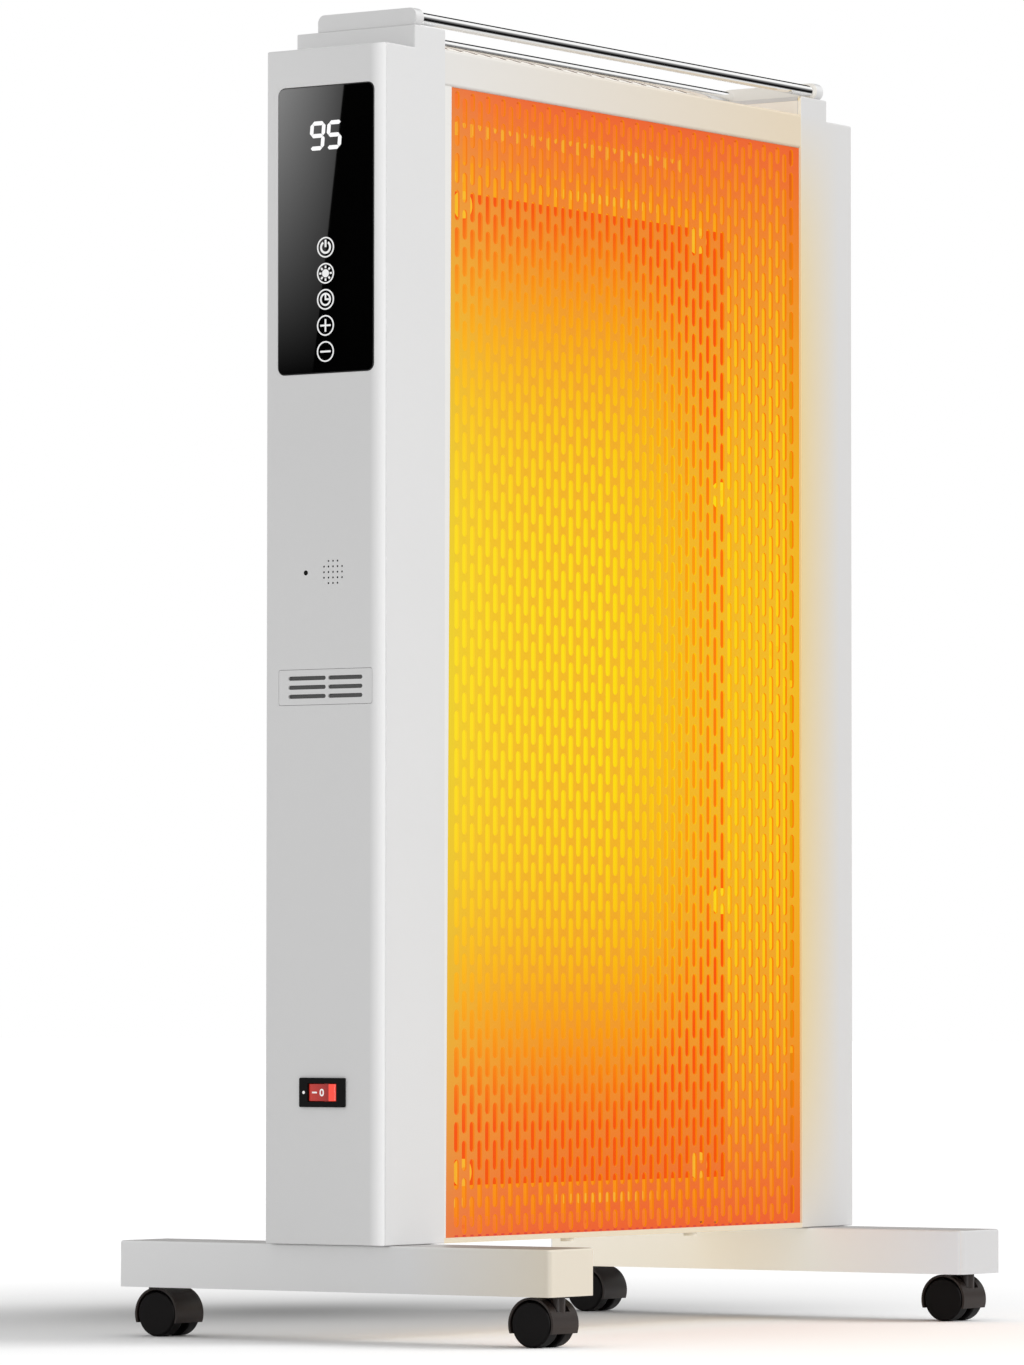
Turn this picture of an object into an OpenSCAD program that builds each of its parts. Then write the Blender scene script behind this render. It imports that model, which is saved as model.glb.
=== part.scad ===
// Free-standing mica panel space heater on twin-wheel casters.
// X runs across the heater with the control column on the minus side, Y runs from the front
// (minus) to the back (plus), Z is up, and the floor under the wheels is z = 0.

/* [Body] */
// Overall width across the two side columns
body_w = 459.2; // [420:0.2:560]
// Depth of the columns from front to back
body_d = 76.7; // [74:0.1:100]
// Width of one side column
col_w = 54; // [50:0.5:70]
// Height of the column up to its outer step
col_h = 627; // [620:1:760]
// Height of the column's crown above its outer step
crown_h = 12; // [11:0.5:24]
// Width of the outer step of the column
step_w = 26.4; // [22:0.2:30]
// Wall of the moulded columns
wall = 2.4; // [2:0.1:3]
// Radius of the column's front outer corner
front_corner_r = 6; // [3:0.5:9]
// Radius of the column's rear outer corner
rear_corner_r = 2; // [1:0.5:2.2]
// Thickness of the pressed sheet of rails and inner panels
sheet = 1.5; // [1.2:0.1:2]
// Distance from the middle of the depth to a screw tower
tower_y = 22; // [20:0.5:24]
// Radius of a screw tower
tower_r = 3.5; // [3:0.1:4.5]

/* [Rails] */
// Height of the face of the top rails
rail_h = 19.2; // [16:0.2:26]
// Distance from the top of a rail to the top of the crown
rail_drop = 10.3; // [8:0.1:14]
// Depth of a top rail's roof from its face
rail_roof = 18.4; // [14:0.2:24]
// Depth of a top rail's lower lip from its face
rail_lip = 11.4; // [8:0.2:14]
// Height of the bottom pan's front and rear lips
pan_lip_h = 2.8; // [2.2:0.1:8]
// Width of an air slot in the outlet grille and the pan
air_slot_w = 6; // [4:0.2:8]
// Length of an air slot in the outlet grille and the pan
air_slot_l = 28; // [16:1:32]
// Pitch of the air slots
air_pitch = 14; // [11:0.5:20]

/* [Grille and rear panel] */
// Thickness of the grille and rear panel sheet
grille_t = 1; // [0.8:0.1:1.5]
// Distance of the grille behind the column's front face
grille_recess = 1.4; // [1:0.1:3]
// Depth of the folded edge of the grille and the rear panel
fold_d = 9; // [8.5:0.5:12]
// Width of the trim strip beside the grille
trim_w = 3.7; // [2:0.1:5]
// Width of a grille slot
slot_w = 8.4; // [5:0.2:9]
// Length of a grille slot
slot_l = 32.4; // [20:0.4:34]
// Pitch of the slot columns
slot_pitch_x = 14; // [13.5:0.5:20]
// Pitch of the slots in a column
slot_pitch_z = 38.6; // [38:0.4:48]
// Length of a slot in the rear panel
rear_slot_l = 9; // [7:0.5:14]
// Pitch of the slots in the rear panel
rear_pitch = 14; // [13:0.5:20]

/* [Heating element] */
// Width of the mica sheets
mica_w = 288; // [260:1:290]
// Height of the mica sheets
mica_h = 531.5; // [480:0.5:534]
// Distance from the top of the mica sheets to the top rails
mica_drop = 49.2; // [44:0.2:70]
// Distance from the front face to the front mica sheet
mica_depth = 31.85; // [28:0.1:36]
// Thickness of one mica sheet
mica_t = 0.8; // [0.5:0.1:1.2]
// Thickness of the heating ribbon
ribbon_t = 0.4; // [0.2:0.1:0.6]
// Width of the heating ribbon
ribbon_w = 8; // [5:0.5:9]
// Pitch of the ribbon's runs
ribbon_pitch = 15; // [12:0.5:18]
// Thickness of the element frame
frame_t = 1.2; // [1:0.1:1.6]
// Width of the element frame's bars behind the mica
frame_bar = 16; // [13:0.5:20]
// Height of the frame's margin above and below the mica
frame_margin = 17; // [12:0.5:20]
// Radius of an element washer
washer_r = 7.25; // [6:0.25:7.5]
// Thickness of an element washer
washer_t = 2.5; // [1.5:0.1:3]
// Distance of a washer from the side of the mica at mid height
washer_in = 5.5; // [5:0.5:7]
// Distance of a corner washer from the side of the mica
corner_in = 28.6; // [24:0.2:34]
// Distance of a corner washer from the top or bottom of the mica
corner_drop = 6.9; // [6:0.1:7.5]
// Distance of the upper middle washers from the top of the mica
mid_drop = 148.6; // [120:0.2:200]
// Distance of the lower middle washers from the bottom of the mica
mid_rise = 154.5; // [120:0.5:200]
// Width of an element bracket
bracket_w = 15; // [10:0.5:20]

/* [Handle] */
// Thickness of a handle bracket
handle_t = 7.6; // [6.4:0.1:9]
// Height of a handle bracket
handle_h = 9.5; // [9:0.1:12]
// Length of a handle bracket from front to back
handle_l = 64; // [50:0.5:70]
// Distance from the crown's outer side to a handle bracket
handle_in = 2.1; // [1:0.1:6]
// Diameter of a handle rod
rod_d = 6.5; // [5:0.1:7]
// Depth of a rod's seat in its bracket
rod_seat = 5; // [3:0.2:5.4]

/* [Display] */
// Width of the glass panel
glass_w = 61.7; // [58:0.1:64]
// Height of the glass panel
glass_h = 151.2; // [146:0.2:156]
// Distance from the column's step to the top of the glass
glass_drop = 20.3; // [18:0.1:24]
// Corner radius of the glass
glass_r = 4; // [2:0.5:5]
// Thickness of the glass
glass_t = 2; // [1.8:0.1:3]
// How far the glass stands out of the column
glass_proud = 0.3; // [0.2:0.1:0.8]
// Height of the digits
digit_h = 15.2; // [12:0.2:17]
// Width of one digit
digit_w = 9.8; // [8:0.1:10.5]
// Width of a digit's segment
segment_w = 1.8; // [1.2:0.1:2.2]
// Distance from the top of the glass to the middle of the digits
digit_drop = 26.1; // [20:0.1:32]
// Distance from the top of the glass to the first icon
icon_drop = 84.6; // [80:0.1:86]
// Pitch of the icons
icon_pitch = 13.6; // [12:0.1:13.8]
// Diameter of an icon's ring
icon_d = 11.2; // [9:0.1:11.6]
// Height of the printed marks above the glass
mark_t = 0.15; // [0.1:0.01:0.3]
// Distance from the glass to the display board
board_gap = 7; // [5:0.1:9]

/* [Side details] */
// Height of the receiver lens and the sounder above the column's base
sound_z = 351; // [338:0.5:400]
// Distance of the receiver lens behind the middle of the depth
lens_y = 12.7; // [11:0.1:16]
// Diameter of the receiver lens
lens_d = 2.7; // [2:0.1:4]
// Distance of the sounder in front of the middle of the depth
sounder_y = 4.8; // [4:0.1:8]
// Pitch of the sounder's holes
sound_pitch = 2.9; // [2.4:0.1:3.2]
// Diameter of a sounder hole
sound_hole = 1.1; // [0.8:0.1:1.4]
// Height of the side vent above the column's base
vent_z = 291; // [284:0.5:300]
// Width of the side vent
vent_w = 60; // [54:0.5:62]
// Height of the side vent
vent_h = 18.4; // [17:0.2:20]
// Height of the power switch above the column's base
switch_z = 79.2; // [72:0.2:84]
// Distance of the power switch behind the middle of the depth
switch_y = 1.05; // [-3:0.05:4]
// Width of the switch bezel
bezel_w = 29.2; // [28.6:0.1:31]
// Height of the switch bezel
bezel_h = 15.3; // [14.9:0.1:18]
// Width of the switch rocker
rocker_w = 17.7; // [17.4:0.1:17.9]
// Height of the switch rocker
rocker_h = 8.9; // [8:0.1:9.1]
// Height of the cord gland above the column's base
gland_z = 31; // [26:0.5:34]
// Diameter of the cord gland's bore
gland_bore_d = 8.4; // [6:0.1:9]

/* [Feet] */
// How far the middle of a foot lies outside the middle of its column
foot_out = 1.3; // [0:0.1:3]
// Length of a foot bar from front to back
foot_l = 277; // [220:1:340]
// Width of a foot bar
foot_w = 42; // [40:0.5:48]
// Height of a foot bar
foot_h = 23.4; // [21:0.2:30]
// Wall of a foot bar
foot_wall = 2; // [1.6:0.1:3]
// Corner radius of a foot bar
foot_r = 3; // [2:0.5:5]
// Height of the raised seat under a column
seat_h = 1.3; // [1:0.1:3]
// How far the seat lies inside the foot and the column
seat_in = 1.5; // [1:0.1:3]
// Distance from the end of a foot to a caster's stem
stem_in = 9.5; // [9.2:0.1:14]

/* [Casters] */
// Diameter of a caster wheel
wheel_d = 24; // [22:0.5:30]
// Width of one wheel
wheel_w = 8.7; // [7:0.1:9]
// Width of the hood
hood_w = 23.5; // [23:0.1:28]
// Gap between the wheel and the inside of the hood
hood_gap = 0.8; // [0.5:0.1:1.2]
// Thickness of the hood's shell
hood_t = 1.2; // [1:0.1:1.6]
// Distance from the axle down to the hood's lower edge
skirt = 4.7; // [3:0.1:6]
// Thickness of the web between the wheels
web_t = 4.2; // [4:0.1:5]
// Distance of the wheel axle from the stem
trail = 8.5; // [8:0.1:9.5]
// Diameter of the stem
stem_d = 6; // [5:0.1:7]
// Diameter of the stem's collar
collar_d = 8.4; // [8:0.1:8.8]
// Diameter of the wheel axle
axle_d = 3; // [2.4:0.1:3.4]

/* [Hidden] */
// Clearances: a turning fit, a push fit, and a gap between parts that must not touch
turn_gap = 0.05;
push_gap = 0.02;
free_gap = 0.3;
seam = 0.25;
// Extra length of a cutter past the face it cuts, and roundness of bores and small arcs
cut = 1;
$fn = 48;

// Heights
wheel_r = wheel_d / 2;
cavity_r = wheel_r + hood_gap;
hood_r = cavity_r + hood_t;
foot_z0 = wheel_r + hood_r + 0.5;
foot_z1 = foot_z0 + foot_h;
col_z0 = foot_z1 + seat_h;
step_z = col_z0 + col_h;
crown_z = step_z + crown_h;
rail_z1 = crown_z - rail_drop;
rail_z0 = rail_z1 - rail_h;
pan_z1 = col_z0 + pan_lip_h;

// Places across the width and the depth
half_w = body_w / 2;
half_d = body_d / 2;
inner_x = half_w - col_w;
crown_x = half_w - step_w;
panel_x = inner_x + sheet;
column_x = (half_w + inner_x) / 2;
foot_x = column_x + foot_out;
grille_y = half_d - grille_recess;
wall_in_x = half_w - wall;
tower_z = [for (share = [0.078, 0.517, 0.668, 0.984]) col_z0 + share * col_h];

// Screws: shank and head radii, head height, and the clearance hole
screw_r = 1.9;
screw_head_r = 3.6;
screw_head_h = 2.2;
screw_hole_r = screw_r + 0.3;
screw_bite = 8;

// Element stack, as distances behind the front face
mica_y = mica_depth - half_d;
ribbon_y = mica_y + mica_t;
mica2_y = ribbon_y + ribbon_t;
frame_y = mica2_y + mica_t;
bracket_y = frame_y + frame_t;
bracket_foot = 14;
mica_z1 = rail_z0 - mica_drop;
mica_z0 = mica_z1 - mica_h;
mica_x = mica_w / 2;
frame_x = mica_x;
element_screw_r = 1.5;
element_screw_len = washer_t + 2 * mica_t + ribbon_t + frame_t + 2;
bracket_z = [for (share = [0.15, 0.85]) mica_z0 + share * mica_h];
washer_at = [for (s = [-1, 1]) each [
    [s * (mica_x - corner_in), mica_z1 - corner_drop],
    [s * (mica_x - washer_in), mica_z1 - mid_drop],
    [s * (mica_x - washer_in), mica_z0 + mid_rise],
    [s * (mica_x - corner_in), mica_z0 + corner_drop]]];

// Handle
handle_x = crown_x - handle_in;
handle_y0 = -half_d + 0.7;
rod_z = crown_z + handle_h / 2;
rod_y = [handle_y0 + handle_h / 2, handle_y0 + handle_l - handle_h / 2];
rod_half = handle_x - handle_t + rod_seat;

// Display
glass_z1 = step_z - glass_drop;
glass_z0 = glass_z1 - glass_h;
glass_x = half_w + glass_proud;
glass_back = glass_x - glass_t;
glass_ledge = 9;
glass_sill = 6;
board_x = glass_back - board_gap;
board_t = 1.6;
board_in = 3;
peg_r = 0.8;
post_r = 2.5;
icon_z = [for (i = [0 : 4]) glass_z1 - icon_drop - i * icon_pitch];

// Side details
sound_h = col_z0 + sound_z;
vent_h0 = col_z0 + vent_z;
vent_t = 1.6;
vent_slot_h = 1.95;
vent_slot_pitch = 4.55;
vent_rim = 3;
switch_h = col_z0 + switch_z;
bezel_t = 1.2;
switch_body_w = 26.4;
switch_body_h = 12.6;
switch_depth = 17;
blade_l = 7;
rocker_gap = 0.35;
pivot_x = half_w - 3.6;
pivot_r = 1;
rocker_r = rocker_w / 2 + 0.85;
gland_h = col_z0 + gland_z;
gland_x = column_x;
gland_flange_r = 9;
gland_neck_r = 6.2;
gland_nut_r = 8.5;

// Power board on the inner panel: height over the base, size, posts, and the parts on it
pboard_up = 115;
pboard_h = 155;
pboard_half = 27;
pboard_post_h = 8;
post_in = 4.5;
pboard_z0 = col_z0 + pboard_up;
pboard_z1 = pboard_z0 + pboard_h;
pboard_x = panel_x + pboard_post_h;
core_d = 18;
core_w = 26;
core_h = 31;
coil_d = 4;
coil_in = 6;
core_drop = 14;
relay_d = 15.5;
relay_w = 16;
relay_h = 20;
relay_up = 16;
relay_gap = 4;
sink_d = 16;
sink_t = 3;
sink_h = 34;
sink_up = 58;
sink_fins = 5;
fin_t = 2;
fin_l = 12;
terminal_drop = 14;

// Casters
stem_y = foot_l / 2 - stem_in;
axle_z = wheel_r;
web_x = web_t / 2;
ledge_z = axle_z + 6.5;
collar_z0 = hood_r + axle_z - 1.1;
collar_z1 = foot_z0 - free_gap;
stem_z1 = foot_z1 - foot_wall - 3;
socket_r = 6;
socket_flange_r = 7.5;
socket_flange_h = 1;
foot_boss_r = 8.6;
stem_pin_r = 1.3;
caster_at = [["front_left", -1, -1], ["front_right", 1, -1],
             ["rear_left", -1, 1], ["rear_right", 1, 1]];

// Colours as photographed
white = [0.93, 0.93, 0.93];
cream = [0.95, 0.93, 0.88];
black = [0.06, 0.06, 0.06];
brown_black = [0.13, 0.1, 0.1];
steel = [0.75, 0.75, 0.77];
chrome = [0.85, 0.85, 0.87];
amber = [1, 0.45, 0.08];
board_green = [0.1, 0.35, 0.2];

// Shared shapes

// Rectangle between two corners, its corner radii listed anticlockwise from the first corner
module rounded_plan(x0, y0, x1, y1, r) {
    w = x1 - x0;
    d = y1 - y0;
    translate([x0, y0]) difference() {
        square([w, d]);
        for (c = [[0, 0, r[0]], [w, 0, r[1]], [w, d, r[2]], [0, d, r[3]]])
            if (c[2] > 0)
                translate([c[0], c[1]]) difference() {
                    square(2 * c[2], center = true);
                    translate([c[0] > 0 ? -c[2] : c[2], c[1] > 0 ? -c[2] : c[2]]) circle(r = c[2]);
                }
    }
}

// Box between two corners
module block(a, b) { translate(a) cube(b - a); }

// Lays a drawing of Y and Z onto the plane x = at, growing towards plus X
module side_plate(at, t) { translate([at, 0, 0]) rotate([90, 0, 90]) linear_extrude(t) children(); }

// Lays a drawing of X and Z onto the plane y = at, growing towards plus Y
module front_plate(at, t) { translate([0, at + t, 0]) rotate([90, 0, 0]) linear_extrude(t) children(); }

// Stadium slot standing along the second axis
module slot(w, l) {
    for (s = [-1, 1]) translate([0, s * (l - w) / 2]) circle(d = w);
    square([w, l - w], center = true);
}

// Cylinders along X and along Y
module x_bar(x0, x1, y, z, r) { translate([x0, y, z]) rotate([0, 90, 0]) cylinder(r = r, h = x1 - x0); }
module y_bar(x, y0, y1, z, r) { translate([x, y0, z]) rotate([-90, 0, 0]) cylinder(r = r, h = y1 - y0); }

// Pan-head screw with its head above the origin and its shank below
module screw(len, r = screw_r, head_r = screw_head_r, head_h = screw_head_h) {
    cylinder(r = head_r, h = head_h);
    translate([0, 0, -len]) cylinder(r = r, h = len);
}

// Columns

// Plan of a column on the minus side, drawn inwards by one wall when inset is set
module column_plan(inset, outer_x) {
    rounded_plan(-outer_x + inset, -half_d + inset, -inner_x + (inset > 0 ? cut : 0), half_d - inset,
                 [max(front_corner_r - inset, 0), 0, 0, max(rear_corner_r - inset, 0)]);
}

module column_body() {
    difference() {
        union() {
            translate([0, 0, col_z0]) linear_extrude(col_h) column_plan(0, half_w);
            block([-crown_x, -half_d, step_z - cut], [-inner_x, half_d, crown_z]);
        }
        translate([0, 0, col_z0 + wall]) linear_extrude(col_h - 2 * wall) column_plan(wall, half_w);
        block([-crown_x + wall, -half_d + wall, step_z - wall - cut],
              [-inner_x + cut, half_d - wall, crown_z - wall]);
        for (y = handle_screw_y)
            translate([-handle_screw_x, y, crown_z - wall - cut])
                cylinder(r = screw_hole_r, h = wall + 2 * cut);
    }
    // Towers that the inner panel is screwed to
    for (y = [-tower_y, tower_y], z = tower_z) difference() {
        x_bar(-wall_in_x - wall / 2, -panel_x, y, z, tower_r);
        x_bar(-panel_x - screw_bite - 2, -panel_x + cut, y, z, screw_r + push_gap);
    }
}

handle_screw_y = [for (s = [0.2, 0.8]) handle_y0 + s * handle_l];
// Far enough inside the crown for the screw heads
handle_screw_x = min(handle_x - handle_t / 2, crown_x - wall - screw_head_r - 0.2);
foot_screw_y = [-26, 26];

// Bosses over the screws that hold the foot
module foot_bosses() {
    for (y = foot_screw_y) translate([-column_x, y, col_z0 + wall / 2]) difference() {
        cylinder(r = tower_r, h = 14);
        translate([0, 0, -cut]) cylinder(r = screw_r + push_gap, h = 14);
    }
}

module foot_screw_holes() {
    for (y = foot_screw_y) translate([-column_x, y, col_z0 - cut]) cylinder(r = screw_r + push_gap, h = 8);
}

module column_shell() {
    difference() {
        union() {
            column_body();
            foot_bosses();
        }
        foot_screw_holes();
    }
}

module sounder_holes() {
    rows = [3, 5, 5, 5, 3];
    for (i = [0 : 4], j = [0 : rows[i] - 1])
        translate([-sounder_y + (j - (rows[i] - 1) / 2) * sound_pitch, sound_h + (i - 2) * sound_pitch])
            circle(d = sound_hole, $fn = 16);
}

module control_column_shell() {
    color(white) {
        difference() {
            column_shell();
            // Recess and window for the glass
            side_plate(-half_w - cut, cut + glass_t - glass_proud)
                rounded_plan(-glass_w / 2 - seam, glass_z0 - seam, glass_w / 2 + seam, glass_z1 + seam,
                             [for (i = [0 : 3]) glass_r + seam]);
            block([-half_w - cut, -glass_w / 2 + glass_ledge, glass_z0 + glass_sill],
                  [-wall_in_x + cut, glass_w / 2 - glass_ledge, glass_z1 - glass_sill]);
            // Receiver and sounder holes
            x_bar(-half_w - cut, -wall_in_x + cut, lens_y, sound_h, lens_d / 2);
            side_plate(-half_w - cut, wall + 2 * cut) sounder_holes();
            // Recess and window for the side vent
            block([-half_w - cut, -vent_w / 2 - seam, vent_h0 - vent_h / 2 - seam],
                  [-half_w + vent_t, vent_w / 2 + seam, vent_h0 + vent_h / 2 + seam]);
            block([-half_w - cut, -vent_w / 2 + vent_rim, vent_h0 - vent_h / 2 + vent_rim],
                  [-wall_in_x + cut, vent_w / 2 - vent_rim, vent_h0 + vent_h / 2 - vent_rim]);
            // Hole for the power switch
            translate([0, switch_y, switch_h])
                block([-half_w - cut, -switch_body_w / 2 - push_gap, -switch_body_h / 2 - push_gap],
                      [-wall_in_x + cut, switch_body_w / 2 + push_gap, switch_body_h / 2 + push_gap]);
            // Hole for the cord gland
            y_bar(-gland_x, half_d - wall - cut, half_d + cut, gland_h, gland_neck_r + push_gap);
        }
        // Posts of the display board, each with a peg
        for (y = display_post_y, z = display_post_z) {
            x_bar(-wall_in_x - 0.5, -board_x, y, z, post_r);
            x_bar(-board_x - cut, -board_x + board_t + 0.6, y, z, peg_r);
        }
    }
}
display_post_y = [for (s = [-1, 1]) s * (glass_w / 2 - glass_ledge / 2 - 0.8)];
display_post_z = [glass_z0 + 13, glass_z1 - 13];

module plain_column_shell() { color(white) mirror([1, 0, 0]) column_shell(); }

// Steel panel that closes the inner side of a column
module inner_panel() {
    z0 = col_z0 + wall;
    z1 = crown_z - wall;
    half = half_d - wall;
    difference() {
        block([-panel_x, -half, z0], [-inner_x, half, z1]);
        for (y = [-tower_y, tower_y], z = tower_z)
            x_bar(-panel_x - cut, -inner_x + cut, y, z, screw_hole_r);
        for (y = edge_screw_y, z = edge_screw_z)
            x_bar(-panel_x - cut, -inner_x + cut, y, z, screw_hole_r);
    }
}
// Screws through the inner panel into the folded edges of the grille and the rear panel
edge_screw_y = [for (s = [-1, 1]) s * (half_d - wall - screw_head_r - 0.4)];
edge_screw_z = [for (f = [0.16, 0.5, 0.88]) pan_z1 + f * (rail_z0 - pan_z1)];
edge_bite = 5;

module control_inner_panel() {
    color(steel) {
        difference() {
            inner_panel();
            x_bar(-panel_x - cut, -inner_x + cut, grommet_y, grommet_z, grommet_r + push_gap);
        }
        // Posts of the power board, each with a peg
        for (y = pboard_post_y, z = pboard_post_z) {
            x_bar(-pboard_x, -panel_x + 0.5, y, z, post_r);
            x_bar(-pboard_x - board_t - 0.6, -pboard_x + cut, y, z, peg_r);
        }
    }
}
grommet_y = 8;
grommet_z = col_z0 + 40;
grommet_r = 5;
pboard_post_y = [-pboard_half + post_in, pboard_half - post_in];
pboard_post_z = [pboard_z0 + post_in, pboard_z1 - post_in];

module plain_inner_panel() { color(steel) mirror([1, 0, 0]) inner_panel(); }

// Rails, outlet grille and bottom pan

module top_rail() {
    block([-inner_x, -half_d, rail_z0], [inner_x, -half_d + sheet, rail_z1]);
    block([-inner_x, -half_d, rail_z1 - sheet], [inner_x, -half_d + rail_roof, rail_z1]);
    block([-inner_x, -half_d, rail_z0], [inner_x, -half_d + rail_lip, rail_z0 + sheet]);
}
module front_top_rail() { color(white) top_rail(); }
module rear_top_rail() { color(white) mirror([0, 1, 0]) top_rail(); }

// Row of air slots across the width, each standing along Y
module air_slots(x_room) {
    n = floor((2 * x_room - air_slot_w - 8) / air_pitch);
    for (i = [0 : n]) translate([(i - n / 2) * air_pitch, 0]) slot(air_slot_w, air_slot_l);
}

module top_outlet_grille() {
    half = half_d - rail_roof + 3;
    color(white) translate([0, 0, rail_z1 - 2 * sheet]) linear_extrude(sheet) difference() {
        translate([-inner_x, -half]) square([2 * inner_x, 2 * half]);
        air_slots(inner_x);
    }
}

module bottom_pan() {
    color(white) difference() {
        union() {
            translate([0, 0, col_z0]) linear_extrude(sheet) difference() {
                translate([-inner_x, -half_d]) square([2 * inner_x, body_d]);
                air_slots(inner_x);
            }
            for (s = [0, 1]) mirror([0, s, 0])
                block([-inner_x, -half_d, col_z0], [inner_x, -half_d + 8, pan_z1]);
        }
        for (x = pan_screw_x, y = [-pan_screw_y, pan_screw_y])
            translate([x, y, col_z0 - cut]) cylinder(r = screw_hole_r, h = pan_lip_h + 2 * cut);
    }
}
pan_screw_x = [-54, 67];
pan_screw_y = half_d - 4.5;

// Every case screw: inner panels, folded edges, bottom pan and feet
module case_screws() {
    color(steel) {
        for (s = [0, 1]) mirror([s, 0, 0]) {
            for (y = [-tower_y, tower_y], z = tower_z)
                translate([-inner_x, y, z]) rotate([0, 90, 0]) screw(sheet + screw_bite);
            for (y = edge_screw_y, z = edge_screw_z)
                translate([-panel_x, y, z]) rotate([0, -90, 0]) screw(sheet + edge_bite);
            for (y = foot_screw_y)
                translate([-column_x, y, foot_z1 - foot_wall]) rotate([180, 0, 0])
                    screw(foot_wall + seat_h + wall + 3);
        }
        for (x = pan_screw_x, y = [-pan_screw_y, pan_screw_y])
            translate([x, y, col_z0]) rotate([180, 0, 0]) screw(pan_lip_h + grille_t + 2, head_h = 1.9);
    }
}

// Front grille and rear panel: trays with folded edges

// Tray on the front side, its face cut by the children drawn in X and Z
module tray() {
    difference() {
        block([-inner_x, -grille_y, pan_z1], [inner_x, -grille_y + fold_d, rail_z0]);
        block([-inner_x + grille_t, -grille_y + grille_t, pan_z1 + grille_t],
              [inner_x - grille_t, -grille_y + fold_d + cut, rail_z0 - grille_t]);
        for (s = [-1, 1], z = edge_screw_z)
            x_bar(s * inner_x - 2, s * inner_x + 2, edge_screw_y[0], z, screw_r + push_gap);
        for (x = pan_screw_x)
            translate([x, -pan_screw_y, pan_z1 - cut])
                cylinder(r = screw_r + push_gap, h = grille_t + 2 * cut);
        front_plate(-grille_y - cut, grille_t + 2 * cut) children();
    }
}

// Columns of slots, every second column shifted by half a pitch
module staggered_slots() {
    room_x = inner_x - 8;
    room_z = (rail_z0 - pan_z1) / 2 - 6;
    mid_z = (rail_z0 + pan_z1) / 2;
    nx = floor((2 * room_x - slot_w) / slot_pitch_x);
    for (i = [0 : nx]) {
        odd = i % 2;
        nz = floor((2 * room_z - slot_l) / slot_pitch_z) - odd;
        for (j = [0 : nz])
            translate([(i - nx / 2) * slot_pitch_x, mid_z + (j - nz / 2) * slot_pitch_z])
                slot(slot_w, slot_l);
    }
}
module front_grille() { color(amber) tray() staggered_slots(); }

module rear_slots() {
    n = floor((2 * inner_x - 24) / rear_pitch);
    for (z = [rail_z0 - 6.5, rail_z0 - 33.5, pan_z1 + 21.5, pan_z1 + 8.5], i = [0 : n])
        translate([(i - n / 2) * rear_pitch, z]) slot(4.6, rear_slot_l);
}
module rear_panel() { color(white) mirror([0, 1, 0]) tray() rear_slots(); }

module grille_trim_strip() {
    color(cream) block([-inner_x, -half_d, pan_z1], [-inner_x + trim_w, -grille_y, rail_z0]);
}

// Heating element

module element_holes(r) { for (p = washer_at) translate(p) circle(r = r); }

module mica_plan() {
    difference() {
        translate([-mica_x, mica_z0]) square([mica_w, mica_h]);
        element_holes(element_screw_r + 0.1);
    }
}
module mica_sheet_front() { color(amber) front_plate(mica_y, mica_t) mica_plan(); }
module mica_sheet_rear() { color(amber) front_plate(mica2_y, mica_t) mica_plan(); }

// One ribbon that runs up and down between the sheets
module heating_ribbon() {
    n = 2 * floor((mica_w - 2 * 24) / ribbon_pitch / 2);
    z0 = mica_z0 + 22;
    z1 = mica_z1 - 22;
    color(steel) front_plate(ribbon_y, ribbon_t) {
        for (i = [0 : n]) translate([(i - n / 2) * ribbon_pitch - ribbon_w / 2, z0])
            square([ribbon_w, z1 - z0]);
        for (i = [0 : n - 1])
            translate([(i - n / 2) * ribbon_pitch - ribbon_w / 2, i % 2 == 0 ? z1 - ribbon_w : z0])
                square([ribbon_pitch + ribbon_w, ribbon_w]);
    }
}

// Pressed frame behind the sheets, with the margins that show above and below them
module element_frame() {
    color(steel) front_plate(frame_y, frame_t) difference() {
        translate([-frame_x, mica_z0 - frame_margin]) square([2 * frame_x, mica_h + 2 * frame_margin]);
        translate([-frame_x + frame_bar, mica_z0 + frame_bar])
            square([2 * (frame_x - frame_bar), mica_h - 2 * frame_bar]);
        element_holes(element_screw_r + 0.1);
    }
}
module element_washers() {
    color(amber) for (p = washer_at) front_plate(mica_y - washer_t, washer_t) translate(p) difference() {
        circle(r = washer_r);
        circle(r = element_screw_r + 0.1);
    }
}
module element_screws() {
    color(steel) for (p = washer_at) translate([p[0], mica_y - washer_t, p[1]]) rotate([90, 0, 0])
        screw(element_screw_len, r = element_screw_r, head_r = 2.8, head_h = 1.4);
}

// Brackets from the frame to the inner panels
module element_brackets() {
    overlap = frame_bar - 4;
    half = bracket_w / 2;
    color(steel) for (s = [0, 1], z = bracket_z) mirror([s, 0, 0]) {
        block([-inner_x, bracket_y, z - half], [-frame_x + overlap, bracket_y + frame_t, z + half]);
        block([-inner_x, bracket_y, z - half], [-inner_x + frame_t, bracket_y + bracket_foot, z + half]);
    }
}
module overheat_thermostat() {
    z = mica_z1 + frame_margin / 2;
    color(black) {
        y_bar(0, bracket_y, bracket_y + 8, z, 7);
        for (x = [-3.5, 3.5])
            block([x - 1, bracket_y + 7, z - 2.4], [x + 1, bracket_y + 15, z + 2.4]);
    }
}

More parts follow.
